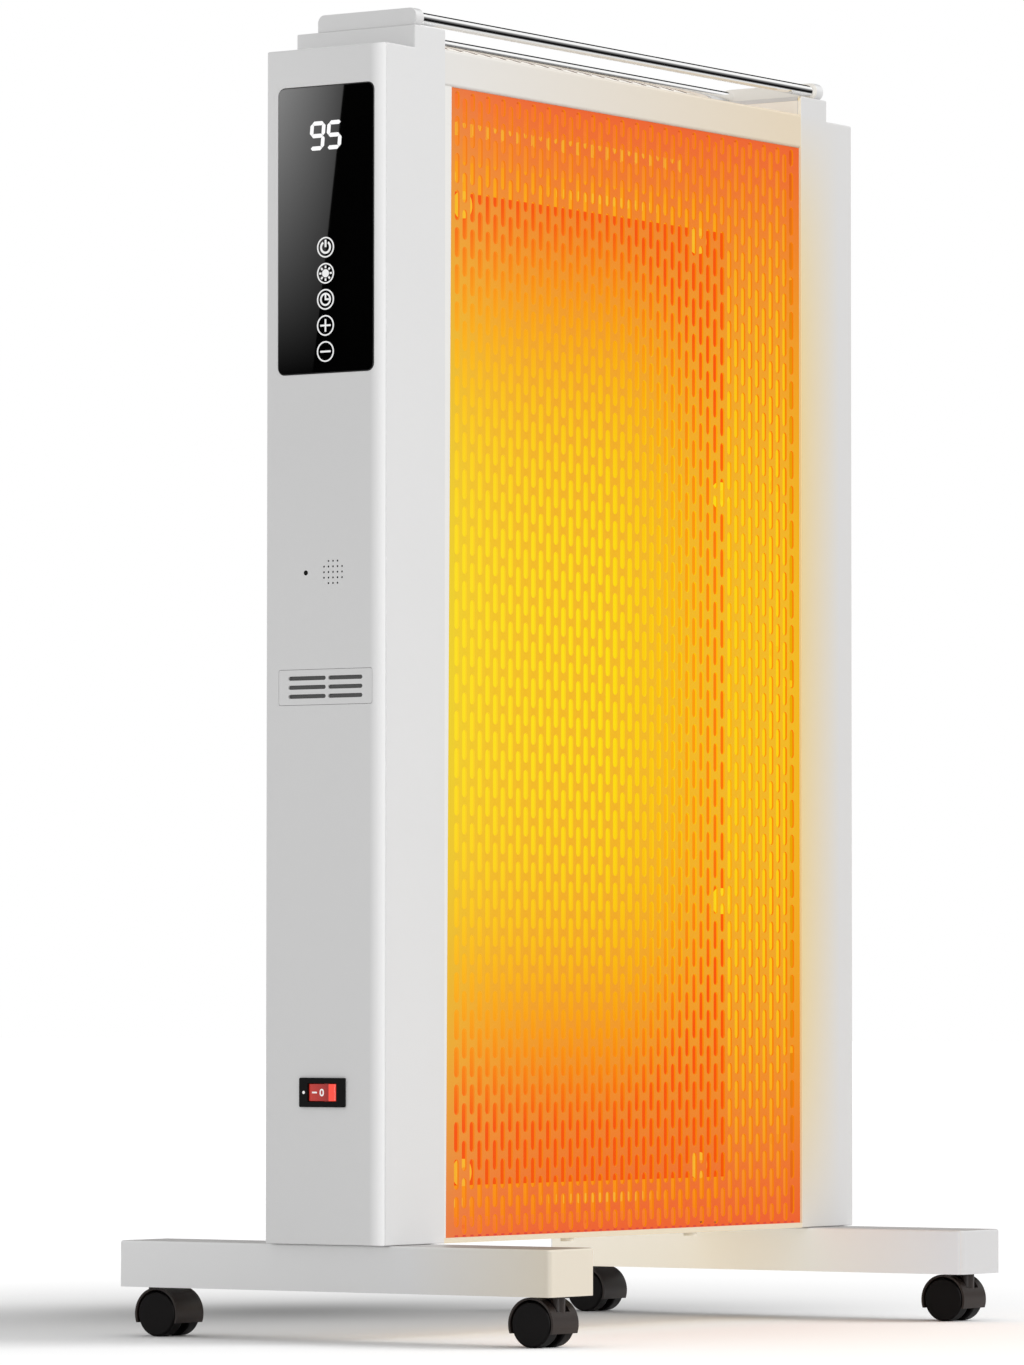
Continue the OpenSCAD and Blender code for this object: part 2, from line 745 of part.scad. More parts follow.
// Grommet in the control side's inner panel and the two leads through it to the element
module wire_grommet() {
    color(black) difference() {
        union() {
            x_bar(-panel_x - 2, -inner_x + 2, grommet_y, grommet_z, grommet_r);
            x_bar(-panel_x - 2, -panel_x, grommet_y, grommet_z, grommet_r + 1.6);
            x_bar(-inner_x, -inner_x + 2, grommet_y, grommet_z, grommet_r + 1.6);
        }
        for (s = [-1, 1])
            x_bar(-panel_x - 3, -inner_x + 3, grommet_y + s * lead_gap, grommet_z, lead_r + push_gap);
    }
}
lead_r = 1.2;
lead_gap = 2.2;
module element_leads() {
    x0 = -panel_x - terminal_t / 2;
    color(amber) for (s = [-1, 1]) {
        y = grommet_y + s * lead_gap;
        x1 = -frame_x + frame_bar / 2 + s * 4;
        translate([x0, y, grommet_z]) {
            cylinder(r = lead_r, h = terminal_z - terminal_h / 2 - grommet_z);
            sphere(r = lead_r);
        }
        x_bar(x0, x1, y, grommet_z, lead_r);
        translate([x1, y, grommet_z]) sphere(r = lead_r);
        y_bar(x1, bracket_y, y, grommet_z, lead_r);
    }
}

// Handle

module handle_bracket() {
    r = handle_h / 2;
    rear = rod_y[1] + r;
    difference() {
        side_plate(-handle_x, handle_t)
            rounded_plan(handle_y0, crown_z, rear, crown_z + handle_h, [r * 0.45, 0, r * 0.9, r * 0.9]);
        for (y = rod_y)
            x_bar(-rod_half, -handle_x + handle_t + cut, y, rod_z, rod_d / 2 + push_gap);
        for (y = handle_screw_y)
            translate([-handle_screw_x, y, crown_z - cut]) cylinder(r = screw_r + push_gap, h = cut + 6.5);
    }
}
module handle_bracket_left() { color(white) handle_bracket(); }
module handle_bracket_right() { color(white) mirror([1, 0, 0]) handle_bracket(); }
module handle_rod_front() { color(chrome) x_bar(-rod_half, rod_half, rod_y[0], rod_z, rod_d / 2); }
module handle_rod_rear() { color(chrome) x_bar(-rod_half, rod_half, rod_y[1], rod_z, rod_d / 2); }
module handle_screws() {
    color(steel) for (s = [0, 1], y = handle_screw_y) mirror([s, 0, 0])
        translate([-handle_screw_x, y, crown_z - wall]) rotate([180, 0, 0]) screw(wall + 6);
}

// Display

module display_glass() {
    color(black) side_plate(-glass_x, glass_t)
        rounded_plan(-glass_w / 2, glass_z0, glass_w / 2, glass_z1, [for (i = [0 : 3]) glass_r]);
}

// Bars of a seven-segment digit, in the order top, upper left, upper right, middle, lower left,
// lower right and bottom, drawn where the matching flag is 1
module digit(lit) {
    w = digit_w / 2 - segment_w / 2;
    h = digit_h / 2 - segment_w / 2;
    g = 0.25;
    if (lit[0]) translate([0, h]) square([2 * w - segment_w - g, segment_w], center = true);
    if (lit[1]) translate([-w, h / 2]) square([segment_w, h - g], center = true);
    if (lit[2]) translate([w, h / 2]) square([segment_w, h - g], center = true);
    if (lit[3]) square([2 * w - segment_w - g, segment_w], center = true);
    if (lit[4]) translate([-w, -h / 2]) square([segment_w, h - g], center = true);
    if (lit[5]) translate([w, -h / 2]) square([segment_w, h - g], center = true);
    if (lit[6]) translate([0, -h]) square([2 * w - segment_w - g, segment_w], center = true);
}

module ring(d, w) {
    difference() {
        circle(d = d);
        circle(d = d - 2 * w);
    }
}

// Icons: power, sun, clock, plus and minus, each in a ring
module icon(kind) {
    line = 0.7;
    ring(icon_d, line);
    if (kind == 0) {
        difference() {
            ring(icon_d * 0.56, line);
            translate([0, icon_d * 0.25]) square([icon_d * 0.22, icon_d * 0.3], center = true);
        }
        translate([0, icon_d * 0.17]) square([line, icon_d * 0.3], center = true);
    }
    if (kind == 1) {
        circle(d = icon_d * 0.3);
        for (a = [0 : 45 : 315]) rotate(a) translate([icon_d * 0.28, 0])
            square([icon_d * 0.14, line], center = true);
    }
    if (kind == 2) {
        ring(icon_d * 0.62, line);
        translate([0, icon_d * 0.08]) square([line, icon_d * 0.22], center = true);
        translate([icon_d * 0.1, 0]) square([icon_d * 0.2 + line, line], center = true);
    }
    if (kind >= 3) square([icon_d * 0.58, line], center = true);
    if (kind == 3) square([line, icon_d * 0.58], center = true);
}

// Lit digits and icons, drawn as seen from outside the control column
module display_marks() {
    color("white") translate([-glass_x - mark_t, 0, 0]) rotate([90, 0, 90]) linear_extrude(mark_t) {
        translate([digit_w * 0.57, glass_z1 - digit_drop]) mirror([1, 0]) digit([1, 1, 1, 1, 0, 1, 1]);
        translate([-digit_w * 0.57, glass_z1 - digit_drop]) mirror([1, 0]) digit([1, 1, 0, 1, 0, 1, 1]);
        for (i = [0 : 4]) translate([0, icon_z[i]]) mirror([1, 0]) icon(i);
    }
}
module digit_module() {
    z = glass_z1 - digit_drop;
    half = digit_h / 2 + 2;
    color(black) block([-glass_back, -digit_w - 2.5, z - half], [-board_x, digit_w + 2.5, z + half]);
}
module display_board() {
    half = glass_w / 2 - board_in;
    color(board_green) difference() {
        block([-board_x, -half, glass_z0 + 6], [-board_x + board_t, half, glass_z1 - 6]);
        for (y = display_post_y, z = display_post_z)
            x_bar(-board_x - cut, -board_x + board_t + cut, y, z, peg_r + push_gap);
    }
}
module touch_springs() {
    color(steel) for (z = icon_z) difference() {
        x_bar(-glass_back, -board_x, 0, z, icon_d * 0.36);
        x_bar(-glass_back - cut, -board_x + cut, 0, z, icon_d * 0.26);
    }
}

// Receiver lens and sounder behind the outer wall
module receiver_lens() {
    color(black) {
        x_bar(-half_w, -wall_in_x + cut, lens_y, sound_h, lens_d / 2 - push_gap);
        block([-wall_in_x, lens_y - 3.5, sound_h - 4], [-wall_in_x + 5, lens_y + 3.5, sound_h + 4]);
    }
}
module sounder() { color(black) x_bar(-wall_in_x, -wall_in_x + 6, -sounder_y, sound_h, 7.6); }

// Side vent with three rows of slots in two halves
module vent_insert() {
    half = vent_slot_half;
    color(white) side_plate(-half_w, vent_t) difference() {
        translate([-vent_w / 2, vent_h0 - vent_h / 2]) square([vent_w, vent_h]);
        for (k = [-1 : 1], s = [-1, 1])
            translate([-0.5 + s * (half / 2 + 0.9), vent_h0 + k * vent_slot_pitch])
                rotate(90) slot(vent_slot_h, half);
    }
}
vent_slot_half = vent_w * 0.38;

// Power switch

module switch_frame() {
    zh = rocker_h / 2 + rocker_gap;
    yh = rocker_w / 2 + rocker_gap;
    color(black) translate([0, switch_y, switch_h]) {
        difference() {
            union() {
                side_plate(-half_w - bezel_t, bezel_t)
                    rounded_plan(-bezel_w / 2, -bezel_h / 2, bezel_w / 2, bezel_h / 2, [0.8, 0.8, 0.8, 0.8]);
                block([-half_w, -switch_body_w / 2, -switch_body_h / 2],
                      [-half_w + switch_depth, switch_body_w / 2, switch_body_h / 2]);
            }
            block([-half_w - bezel_t - cut, -yh, -zh], [-half_w + cut, yh, zh]);
            block([-half_w, -rocker_r - rocker_gap, -zh],
                  [-half_w + switch_depth - 2, rocker_r + rocker_gap, zh]);
            translate([-pivot_x, 0, -zh - 1.25]) cylinder(r = pivot_r + turn_gap, h = 2 * zh + 2.5);
        }
        for (y = [-1, 1]) block([-half_w + switch_depth, y * contact_y - 0.4, -2.4],
                               [-half_w + switch_depth + blade_l, y * contact_y + 0.4, 2.4]);
    }
}

// Rocker on trunnions: a long face that carries the two marks and a short steep one
module switch_rocker() {
    ridge_y = -3.55;
    ridge = 6.3;
    low = 3.9;
    tilt = atan((ridge - low) / (rocker_w / 2 - ridge_y));
    color([0.75, 0.05, 0.03]) translate([-pivot_x, switch_y, switch_h]) {
        difference() {
            translate([0, 0, -rocker_h / 2]) linear_extrude(rocker_h) intersection() {
                polygon([[-low, rocker_w / 2 + 1], [-ridge, ridge_y], [-low, -rocker_w / 2 - 1],
                         [3, -rocker_w / 2 - 1], [3, rocker_w / 2 + 1]]);
                circle(r = rocker_r);
            }
            // Marks: a bar and a ring sunk into the long face
            translate([-(low + ridge) / 2 + 0.12, (rocker_w / 2 + ridge_y) / 2, 0]) rotate([0, 0, -tilt]) {
                block([-0.6, 1.4, -0.3], [0.2, 4.4, 0.3]);
                translate([0.2, -2.6, 0]) rotate([0, -90, 0]) difference() {
                    cylinder(r = 1.3, h = 0.8);
                    translate([0, 0, -cut]) cylinder(r = 0.8, h = 3);
                }
            }
        }
        translate([0, 0, -rocker_h / 2 - 1.2]) cylinder(r = pivot_r, h = rocker_h + 2.4);
    }
}

// Power electronics in the control column

module power_board() {
    color(board_green) difference() {
        block([-pboard_x - board_t, -pboard_half, pboard_z0], [-pboard_x, pboard_half, pboard_z1]);
        for (y = pboard_post_y, z = pboard_post_z)
            x_bar(-pboard_x - board_t - cut, -pboard_x + cut, y, z, peg_r + push_gap);
    }
}
part_x = pboard_x + board_t;
module transformer() {
    color([0.85, 0.75, 0.2]) {
        translate([-part_x, -core_w + relay_gap, pboard_z1 - core_drop - core_h]) {
            block([-core_d, 0, 0], [0, core_w, core_h]);
            block([-core_d - coil_d, coil_in, coil_in], [-core_d, core_w - coil_in, core_h - coil_in]);
        }
    }
}
module power_relays() {
    color([0.1, 0.2, 0.5]) for (i = [0, 1])
        translate([-part_x, relay_gap, pboard_z0 + relay_up + i * (relay_h + relay_gap)])
            block([-relay_d, 0, 0], [0, relay_w, relay_h]);
}
module heat_sink() {
    color("silver") {
        translate([-part_x, -pboard_half + sink_t + relay_gap, pboard_z0 + sink_up]) {
            block([-sink_d, -sink_t, 0], [0, 0, sink_h]);
            for (i = [0 : sink_fins - 1]) translate([0, 0, i * (sink_h - fin_t) / (sink_fins - 1)])
                block([-sink_d, -sink_t / 2, 0], [0, fin_l, fin_t]);
        }
    }
}
// Terminal block between the switch and the board, in line with the switch
terminal_z = pboard_z0 - terminal_drop;
terminal_h = 12;
terminal_t = 16;
contact_y = 5;
module terminal_block() {
    color(cream) translate([0, switch_y, 0]) {
        block([-panel_x - terminal_t, -15, terminal_z - terminal_h / 2],
              [-panel_x, 15, terminal_z + terminal_h / 2]);
        for (i = [-2, 0, 2])
            x_bar(-panel_x - terminal_t - 1.5, -panel_x - terminal_t + 0.5, i * contact_y, terminal_z, 2.6);
    }
}

// Cord gland through the rear wall: flange outside, neck through the wall, nut inside
module cord_gland() {
    color(black) difference() {
        union() {
            y_bar(-gland_x, half_d, half_d + 4, gland_h, gland_flange_r);
            y_bar(-gland_x, half_d - wall - 9, half_d + 1, gland_h, gland_neck_r);
            translate([-gland_x, half_d - wall, gland_h]) rotate([90, 0, 0])
                cylinder(r = gland_nut_r, h = 5, $fn = 6);
        }
        y_bar(-gland_x, half_d - wall - 10, half_d + 5, gland_h, gland_bore_d / 2);
    }
}

module tip_over_switch() {
    z = col_z0 + 14;
    color(black) {
        block([-panel_x - 11, -12, z], [-panel_x, 12, z + 17]);
        for (y = [-6, 6]) block([-panel_x - 6, y - 1.5, z + 17], [-panel_x - 5.2, y + 1.5, z + 23]);
    }
}

// Leads from the switch to the terminal block, straight runs with round bends, and the flat
// cable from the display board to the power board
module inner_wiring() {
    r = 1.5;
    x0 = -half_w + switch_depth + blade_l;
    x1 = -panel_x - terminal_t - 8;
    color(brown_black) {
        for (s = [-1, 1]) {
            y = switch_y + s * contact_y;
            x_bar(x0, x1, y, switch_h, r);
            translate([x1, y, switch_h]) {
                sphere(r = r);
                cylinder(r = r, h = terminal_z - switch_h);
            }
            translate([x1, y, terminal_z]) sphere(r = r);
            x_bar(x1, -panel_x - terminal_t, y, terminal_z, r);
        }
        x2 = -panel_x - terminal_t - 7;
        z0 = pboard_z1 - 8;
        z1 = glass_z0 + glass_sill + 8;
        block([-board_x + board_t, -cable_w / 2, z1 - 1], [x2, cable_w / 2, z1]);
        block([x2 - 1, -cable_w / 2, z0], [x2, cable_w / 2, z1]);
        block([x2 - 1, -cable_w / 2, z0], [-pboard_x - board_t, cable_w / 2, z0 + 1]);
    }
}
cable_w = 12;

// Feet

module foot_plan(inset) {
    r = foot_r - inset > 0 ? foot_r - inset : 0;
    x = foot_w / 2 - inset;
    y = foot_l / 2 - inset;
    rounded_plan(-x, -y, x, y, [r, r, r, r]);
}

// Foot bar open underneath, with a boss over each caster and a raised seat for the column
module foot_bar() {
    seat_w = foot_w - 2 * seat_in;
    translate([-foot_x, 0, 0]) difference() {
        union() {
            difference() {
                translate([0, 0, foot_z0]) linear_extrude(foot_h) foot_plan(0);
                translate([0, 0, foot_z0 - cut]) linear_extrude(foot_h - foot_wall + cut)
                    foot_plan(foot_wall);
            }
            for (s = [-1, 1]) translate([0, s * stem_y, foot_z0 + socket_flange_h])
                cylinder(r = foot_boss_r, h = foot_h - socket_flange_h - foot_wall / 2);
            translate([-seat_w / 2, -half_d + seat_in, foot_z1 - foot_wall / 2])
                cube([seat_w, body_d - 2 * seat_in, seat_h + foot_wall / 2]);
        }
        for (s = [-1, 1]) translate([0, s * stem_y, foot_z0 - cut])
            cylinder(r = socket_r + push_gap, h = cut + foot_h - foot_wall);
        for (y = foot_screw_y) translate([foot_out, y, foot_z1 - foot_wall - cut])
            cylinder(r = screw_hole_r, h = foot_wall + seat_h + 2 * cut);
    }
}
module left_foot_bar() { color(cream) foot_bar(); }
module right_foot_bar() { color(cream) mirror([1, 0, 0]) foot_bar(); }

// Sleeves that the caster stems turn in
module caster_sockets() {
    color(black) for (p = caster_at) translate([p[1] * foot_x, p[2] * stem_y, foot_z0]) difference() {
        union() {
            cylinder(r = socket_r, h = foot_h - foot_wall);
            intersection() {
                cylinder(r = socket_flange_r, h = socket_flange_h);
                cube([4 * socket_flange_r, 2 * (stem_in - foot_wall - push_gap), 4], center = true);
            }
        }
        translate([0, 0, -cut]) cylinder(r = stem_d / 2 + turn_gap, h = cut + stem_z1 - foot_z0 + free_gap);
    }
}

// Casters, drawn with the stem at the origin's plan place and the axle on the minus Y side

module caster_place(p) {
    translate([p[1] * foot_x, p[2] * stem_y, 0]) mirror([0, p[2] < 0 ? 1 : 0, 0]) children();
}

module hood() {
    half = hood_w / 2;
    difference() {
        union() {
            difference() {
                x_bar(-half, half, -trail, axle_z, hood_r);
                block([-half - cut, -trail - hood_r - cut, axle_z - hood_r - cut],
                      [half + cut, -trail + hood_r + cut, axle_z - skirt]);
                // Recess around the boss on the outer side
                block([-recess_x, -collar_d / 2 - 0.6, ledge_z], [recess_x, hood_r, axle_z + hood_r + cut]);
            }
            translate([0, 0, ledge_z - 2]) cylinder(r = collar_d / 2, h = collar_z0 - ledge_z + 2);
        }
        for (s = [-1, 1])
            x_bar(s > 0 ? web_x : -half - cut, s > 0 ? half + cut : -web_x, -trail, axle_z, cavity_r);
        x_bar(-half, half, -trail, axle_z, axle_d / 2 + turn_gap);
        translate([0, 0, stem_pin_z0 - 0.5]) cylinder(r = stem_pin_r + push_gap, h = 40);
    }
}
recess_x = 6;
stem_pin_z0 = axle_z + 1.5;

module stem() {
    translate([0, 0, stem_pin_z0]) cylinder(r = stem_pin_r, h = collar_z0 - stem_pin_z0 + 0.5);
    translate([0, 0, collar_z0]) cylinder(r = collar_d / 2, h = collar_z1 - collar_z0);
    translate([0, 0, collar_z1 - 0.2]) cylinder(r = stem_d / 2, h = stem_z1 - collar_z1 + 0.2);
}

// Wheel drawn about its own axis, its outer face at the top
module wheel() {
    edge = 1.2;
    difference() {
        rotate_extrude($fn = 96) difference() {
            union() {
                square([wheel_r - edge, wheel_w]);
                translate([0, edge]) square([wheel_r, wheel_w - 2 * edge]);
                for (z = [edge, wheel_w - edge]) translate([wheel_r - edge, z]) circle(r = edge);
            }
            translate([-2 * wheel_r, -cut]) square([2 * wheel_r, wheel_w + 2 * cut]);
            translate([axle_d / 2 + 2.2, -cut]) square([wheel_r - axle_d / 2 - 5, wheel_w - 1.2]);
        }
        translate([0, 0, -cut]) cylinder(r = axle_d / 2 + push_gap, h = wheel_w - 0.3);
    }
}
module wheels() {
    x0 = hood_w / 2 - wheel_w - 0.1;
    for (s = [0, 1]) mirror([s, 0, 0]) translate([x0, -trail, axle_z]) rotate([0, 90, 0]) wheel();
    reach = x0 + wheel_w - cut - 0.5;
    x_bar(-reach, reach, -trail, axle_z, axle_d / 2);
}

module caster_hood(p) { color(brown_black) caster_place(p) hood(); }
module caster_stem(p) { color(steel) caster_place(p) stem(); }
module caster_wheels(p) { color(black) caster_place(p) wheels(); }

control_column_shell();
plain_column_shell();
control_inner_panel();
plain_inner_panel();
front_top_rail();
rear_top_rail();
top_outlet_grille();
bottom_pan();
case_screws();
front_grille();
grille_trim_strip();
rear_panel();
mica_sheet_front();
mica_sheet_rear();
heating_ribbon();
element_frame();
element_washers();
element_screws();
element_brackets();
overheat_thermostat();
element_leads();
wire_grommet();
handle_bracket_left();
handle_bracket_right();
handle_rod_front();
handle_rod_rear();
handle_screws();
display_glass();
display_marks();
digit_module();
display_board();
touch_springs();
sounder();
receiver_lens();
vent_insert();
switch_frame();
switch_rocker();
power_board();
transformer();
power_relays();
heat_sink();
terminal_block();
cord_gland();
tip_over_switch();
inner_wiring();
left_foot_bar();
right_foot_bar();
caster_sockets();
for (p = caster_at) {
    caster_hood(p);
    caster_stem(p);
    caster_wheels(p);
}
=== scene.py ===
# %% [markdown]
# # A mica panel heater, dressed over its CAD frame
# The heater stands between two moulded columns on wheeled feet. Its CAD model already has every
# piece in the right place, so this script only has to make the visible ones look real: edges get
# their small radii, the punched grille gets its full pattern, and every surface gets a finish.
# One metre in Blender is one metre of the heater, in the same frame as the CAD.

# %% Load the frame
import math
import bmesh
import bpy
import numpy as np
from mathutils import Matrix, Vector
from mathutils.geometry import delaunay_2d_cdt


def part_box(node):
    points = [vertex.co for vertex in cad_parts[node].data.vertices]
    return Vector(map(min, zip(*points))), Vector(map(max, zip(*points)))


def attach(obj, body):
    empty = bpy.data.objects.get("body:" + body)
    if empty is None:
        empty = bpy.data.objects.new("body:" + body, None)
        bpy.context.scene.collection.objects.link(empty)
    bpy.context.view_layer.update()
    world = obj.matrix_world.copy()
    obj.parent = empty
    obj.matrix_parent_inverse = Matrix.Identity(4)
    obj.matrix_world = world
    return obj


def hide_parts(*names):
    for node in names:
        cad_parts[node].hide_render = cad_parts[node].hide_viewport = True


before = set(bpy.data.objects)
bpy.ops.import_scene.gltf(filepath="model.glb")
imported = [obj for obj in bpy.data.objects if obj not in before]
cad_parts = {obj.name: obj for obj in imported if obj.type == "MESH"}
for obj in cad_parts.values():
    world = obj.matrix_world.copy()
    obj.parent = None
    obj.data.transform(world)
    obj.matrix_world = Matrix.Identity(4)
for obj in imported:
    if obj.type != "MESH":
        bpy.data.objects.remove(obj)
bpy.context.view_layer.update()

# %% [markdown]
# ## The main sizes
# A dressed piece must sit exactly where its CAD solid sits. The sizes below are the ones that more
# than one piece needs, in millimetres, as in the CAD source.

# %% Main sizes in millimetres
HALF_W, HALF_D = 229.6, 38.35
INNER_X, CROWN_X = 175.6, 203.2
COL_Z0, STEP_Z, CROWN_Z = 51.2, 678.2, 690.2
RAIL_Z0, RAIL_Z1, PAN_Z1 = 660.7, 679.9, 54.0
GRILLE_Y = 36.95
FOOT_X, FOOT_Z0, FOOT_Z1 = 203.9, 26.5, 51.0
SHELL_T, RAIL_T, FOOT_T = 2.3, 1.4, 2.0
MM = 0.001

# %% [markdown]
# ## Tools for surfaces
# Nearly every piece of a moulded or folded appliance is a flat outline carried along a short path,
# with a small radius where it turns. So three ideas are enough: an outline made of straight runs
# and arcs, a stack of such outlines joined into a skin, and a flat sheet with holes. All of them
# are worked out as whole arrays. Sculpting or bevelling by hand would also round the edges, but
# then a changed size would mean doing it again.

# %% Outlines
def arc(cx, cy, r, a0, a1, k=6):
    """Points (cx + r cos a, cy + r sin a) at k + 1 even steps of a from a0 to a1 degrees."""
    a = np.radians(np.linspace(a0, a1, k + 1))
    return np.stack([cx + r * np.cos(a), cy + r * np.sin(a)], 1)

def outline(rect, radii, inset=0.0, k=6):
    """Rounded rectangle, anticlockwise from its first corner: each corner is a quarter arc of its
    radius less the inset, and straight runs join the arcs."""
    x0, y0, x1, y1 = rect[0] + inset, rect[1] + inset, rect[2] - inset, rect[3] - inset
    r = [max(c - inset, 0.02) for c in radii]
    return np.concatenate([
        arc(x0 + r[0], y0 + r[0], r[0], 180, 270, k), arc(x1 - r[1], y0 + r[1], r[1], 270, 360, k),
        arc(x1 - r[2], y1 - r[2], r[2], 0, 90, k), arc(x0 + r[3], y1 - r[3], r[3], 90, 180, k)])

def around(u, v, half_u, half_v):
    """Rectangle by its middle and its half sizes."""
    return u - half_u, v - half_v, u + half_u, v + half_v

def rim(e, k=3):
    """Quarter round of radius e as rows of inset e (1 - sin a) and rise e (1 - cos a)."""
    a = np.linspace(0, np.pi / 2, k + 1)
    return np.stack([e * (1 - np.sin(a)), e * (1 - np.cos(a))], 1)

def heights(low, high, e0, e1):
    """Rows of inset and height from low to high, with a rim of radius e0 below and e1 above."""
    return [(i, low + r) for i, r in rim(e0)] + [(i, high - r) for i, r in rim(e1)[::-1]]

def lay(flat, axis, at):
    """Lays drawn points onto the plane at a height along an axis: Y and Z for x, X and Z for y,
    X and Y for z."""
    u, v = np.asarray(flat)[:, 0], np.asarray(flat)[:, 1]
    w = np.full_like(u, at)
    return np.stack({"x": (w, u, v), "y": (u, w, v), "z": (u, v, w)}[axis], 1)

# %% Skins
def outward(points, groups):
    """Signed volume by the divergence sum over fans: below zero, all faces turn over."""
    total = 0.0
    for g in groups:
        for i in range(1, g.shape[1] - 1):
            a, b, c = points[g[:, 0]], points[g[:, i]], points[g[:, i + 1]]
            total += np.einsum("ij,ij->i", a, np.cross(b, c)).sum()
    return points, [g if total > 0 else g[:, ::-1] for g in groups]

def bands(n, m, closed=True):
    """Quads between n rows of m points, each row closed on itself or open."""
    i, j = np.meshgrid(np.arange(n - 1), np.arange(m if closed else m - 1), indexing="ij")
    k = (j + 1) % m
    return np.stack([i * m + j, i * m + k, (i + 1) * m + k, (i + 1) * m + j], -1).reshape(-1, 4)

def caps(n, m):
    """Flat caps on the first and the last of n rows of m points."""
    return [np.arange(m)[None, ::-1], (n - 1) * m + np.arange(m)[None]]

def skin(rings, closed=False):
    """Solid from a stack of rings of equal count: bands between them, and a flat cap on the first
    and last. A closed stack gets a band between these two instead."""
    rings = np.concatenate([rings, rings[:1]]) if closed else np.asarray(rings)
    n, m = rings.shape[:2]
    return outward(rings.reshape(-1, 3), [bands(n, m)] + ([] if closed else caps(n, m)))

def slab(rect, radii, low, high, axis="z", e=(0.4, 0.4), k=6):
    """Rounded rectangle grown from low to high along an axis, both rims a quarter round."""
    return skin([lay(outline(rect, radii, i, k), axis, h) for i, h in heights(low, high, *e)])

def turned(profile, centre, axis, n=48, closed=False):
    """Solid of revolution: every row (radius, height) of the profile becomes a circle of n points
    about the axis through the centre. A closed profile makes a ring, an open one gets caps."""
    profile = np.asarray(profile, float)
    a = np.linspace(0, 2 * np.pi, n, endpoint=False)
    u, v = profile[:, :1] * np.cos(a), profile[:, :1] * np.sin(a)
    w = np.repeat(profile[:, 1:], n, 1)
    turns = {"x": (w, u, v), "y": (v, w, u), "z": (u, v, w)}
    return skin(np.stack(turns[axis], -1) + centre, closed)

def tube(near, far, y0, y1):
    """Tube between two outlines of equal count in X and Z, from y0 to y1."""
    return skin([lay(flat, "y", y) for flat, y in
                 ((near, y0), (near, y1), (far, y1), (far, y0))], True)

# %% Sheets with holes
def inside(points, loop):
    """Even-odd test: a point is inside where a ray along the first axis crosses the loop an odd
    number of times."""
    x, y = points[:, 0][:, None], points[:, 1][:, None]
    x0, y0 = loop[:, 0], loop[:, 1]
    x1, y1 = np.roll(x0, -1), np.roll(y0, -1)
    cross = (y0 > y) != (y1 > y)
    with np.errstate(divide="ignore", invalid="ignore"):
        at = x0 + (y - y0) * (x1 - x0) / (y1 - y0)
    return (cross & (x < at)).sum(1) % 2 == 1

def tidy(loop):
    """The loop without points that repeat the one before, as where a full round has no straight."""
    loop = np.asarray(loop)
    return loop[np.linalg.norm(loop - np.roll(loop, 1, 0), axis=1) > 1e-3]

def fill(loop, holes):
    """Triangles of the flat area inside a loop and outside every hole (constrained Delaunay)."""
    loops = [tidy(loop)] + [tidy(h) for h in holes]
    points = np.concatenate(loops)
    starts = np.cumsum([0] + [len(q) for q in loops[:-1]])
    edges = np.concatenate([s + np.stack([np.arange(len(q)), np.roll(np.arange(len(q)), -1)], 1)
                            for s, q in zip(starts, loops)])
    out = delaunay_2d_cdt([Vector(p) for p in points.tolist()], edges.tolist(), [], 0, 1e-6)
    flat = np.array([v[:] for v in out[0]])
    tris = np.array(out[2])
    mid = flat[tris].mean(1)
    keep = inside(mid, loops[0])
    for h in loops[1:]:
        near = keep & (np.abs(mid - h.mean(0)) < np.ptp(h, 0)).all(1)
        keep[near] &= ~inside(mid[near], h)
    return flat, tris[keep]

def two_faces(loop, holes, low, high, axis, walls):
    """Parts of a flat sheet from low to high along an axis: two filled faces, and a wall at each
    of the loops in walls."""
    flat, tris = fill(loop, holes)
    parts = [(lay(flat, axis, low), [tris]), (lay(flat, axis, high), [tris[:, ::-1]])]
    for q in map(tidy, walls):
        parts.append((np.concatenate([lay(q, axis, low), lay(q, axis, high)]), [bands(2, len(q))]))
    return parts

def sheet(loop, holes, low, high, axis):
    """Flat sheet from low to high along an axis, with a wall at every loop."""
    return weld(two_faces(loop, holes, low, high, axis, [loop, *holes]))

def weld(parts, step=1e-3):
    """One mesh of several: points that agree to a micrometre become one point."""
    points = np.concatenate([p for p, _ in parts])
    _, first, back = np.unique(np.round(points / step).astype(np.int64), axis=0,
                               return_index=True, return_inverse=True)
    back, start, groups = back.reshape(-1), 0, []
    for p, gs in parts:
        groups += [back[g + start] for g in gs]
        start += len(p)
    return points[first], groups

# %% [markdown]
# A rounded edge needs one more thing to look right. Smooth shading blends the direction of a flat
# with that of the little arc beside it, which leaves a false gradient over the whole flat. The
# Weighted Normal modifier gives the large faces the say, so flats stay flat and only the arcs turn.

# %% From arrays to a piece
dressed = []

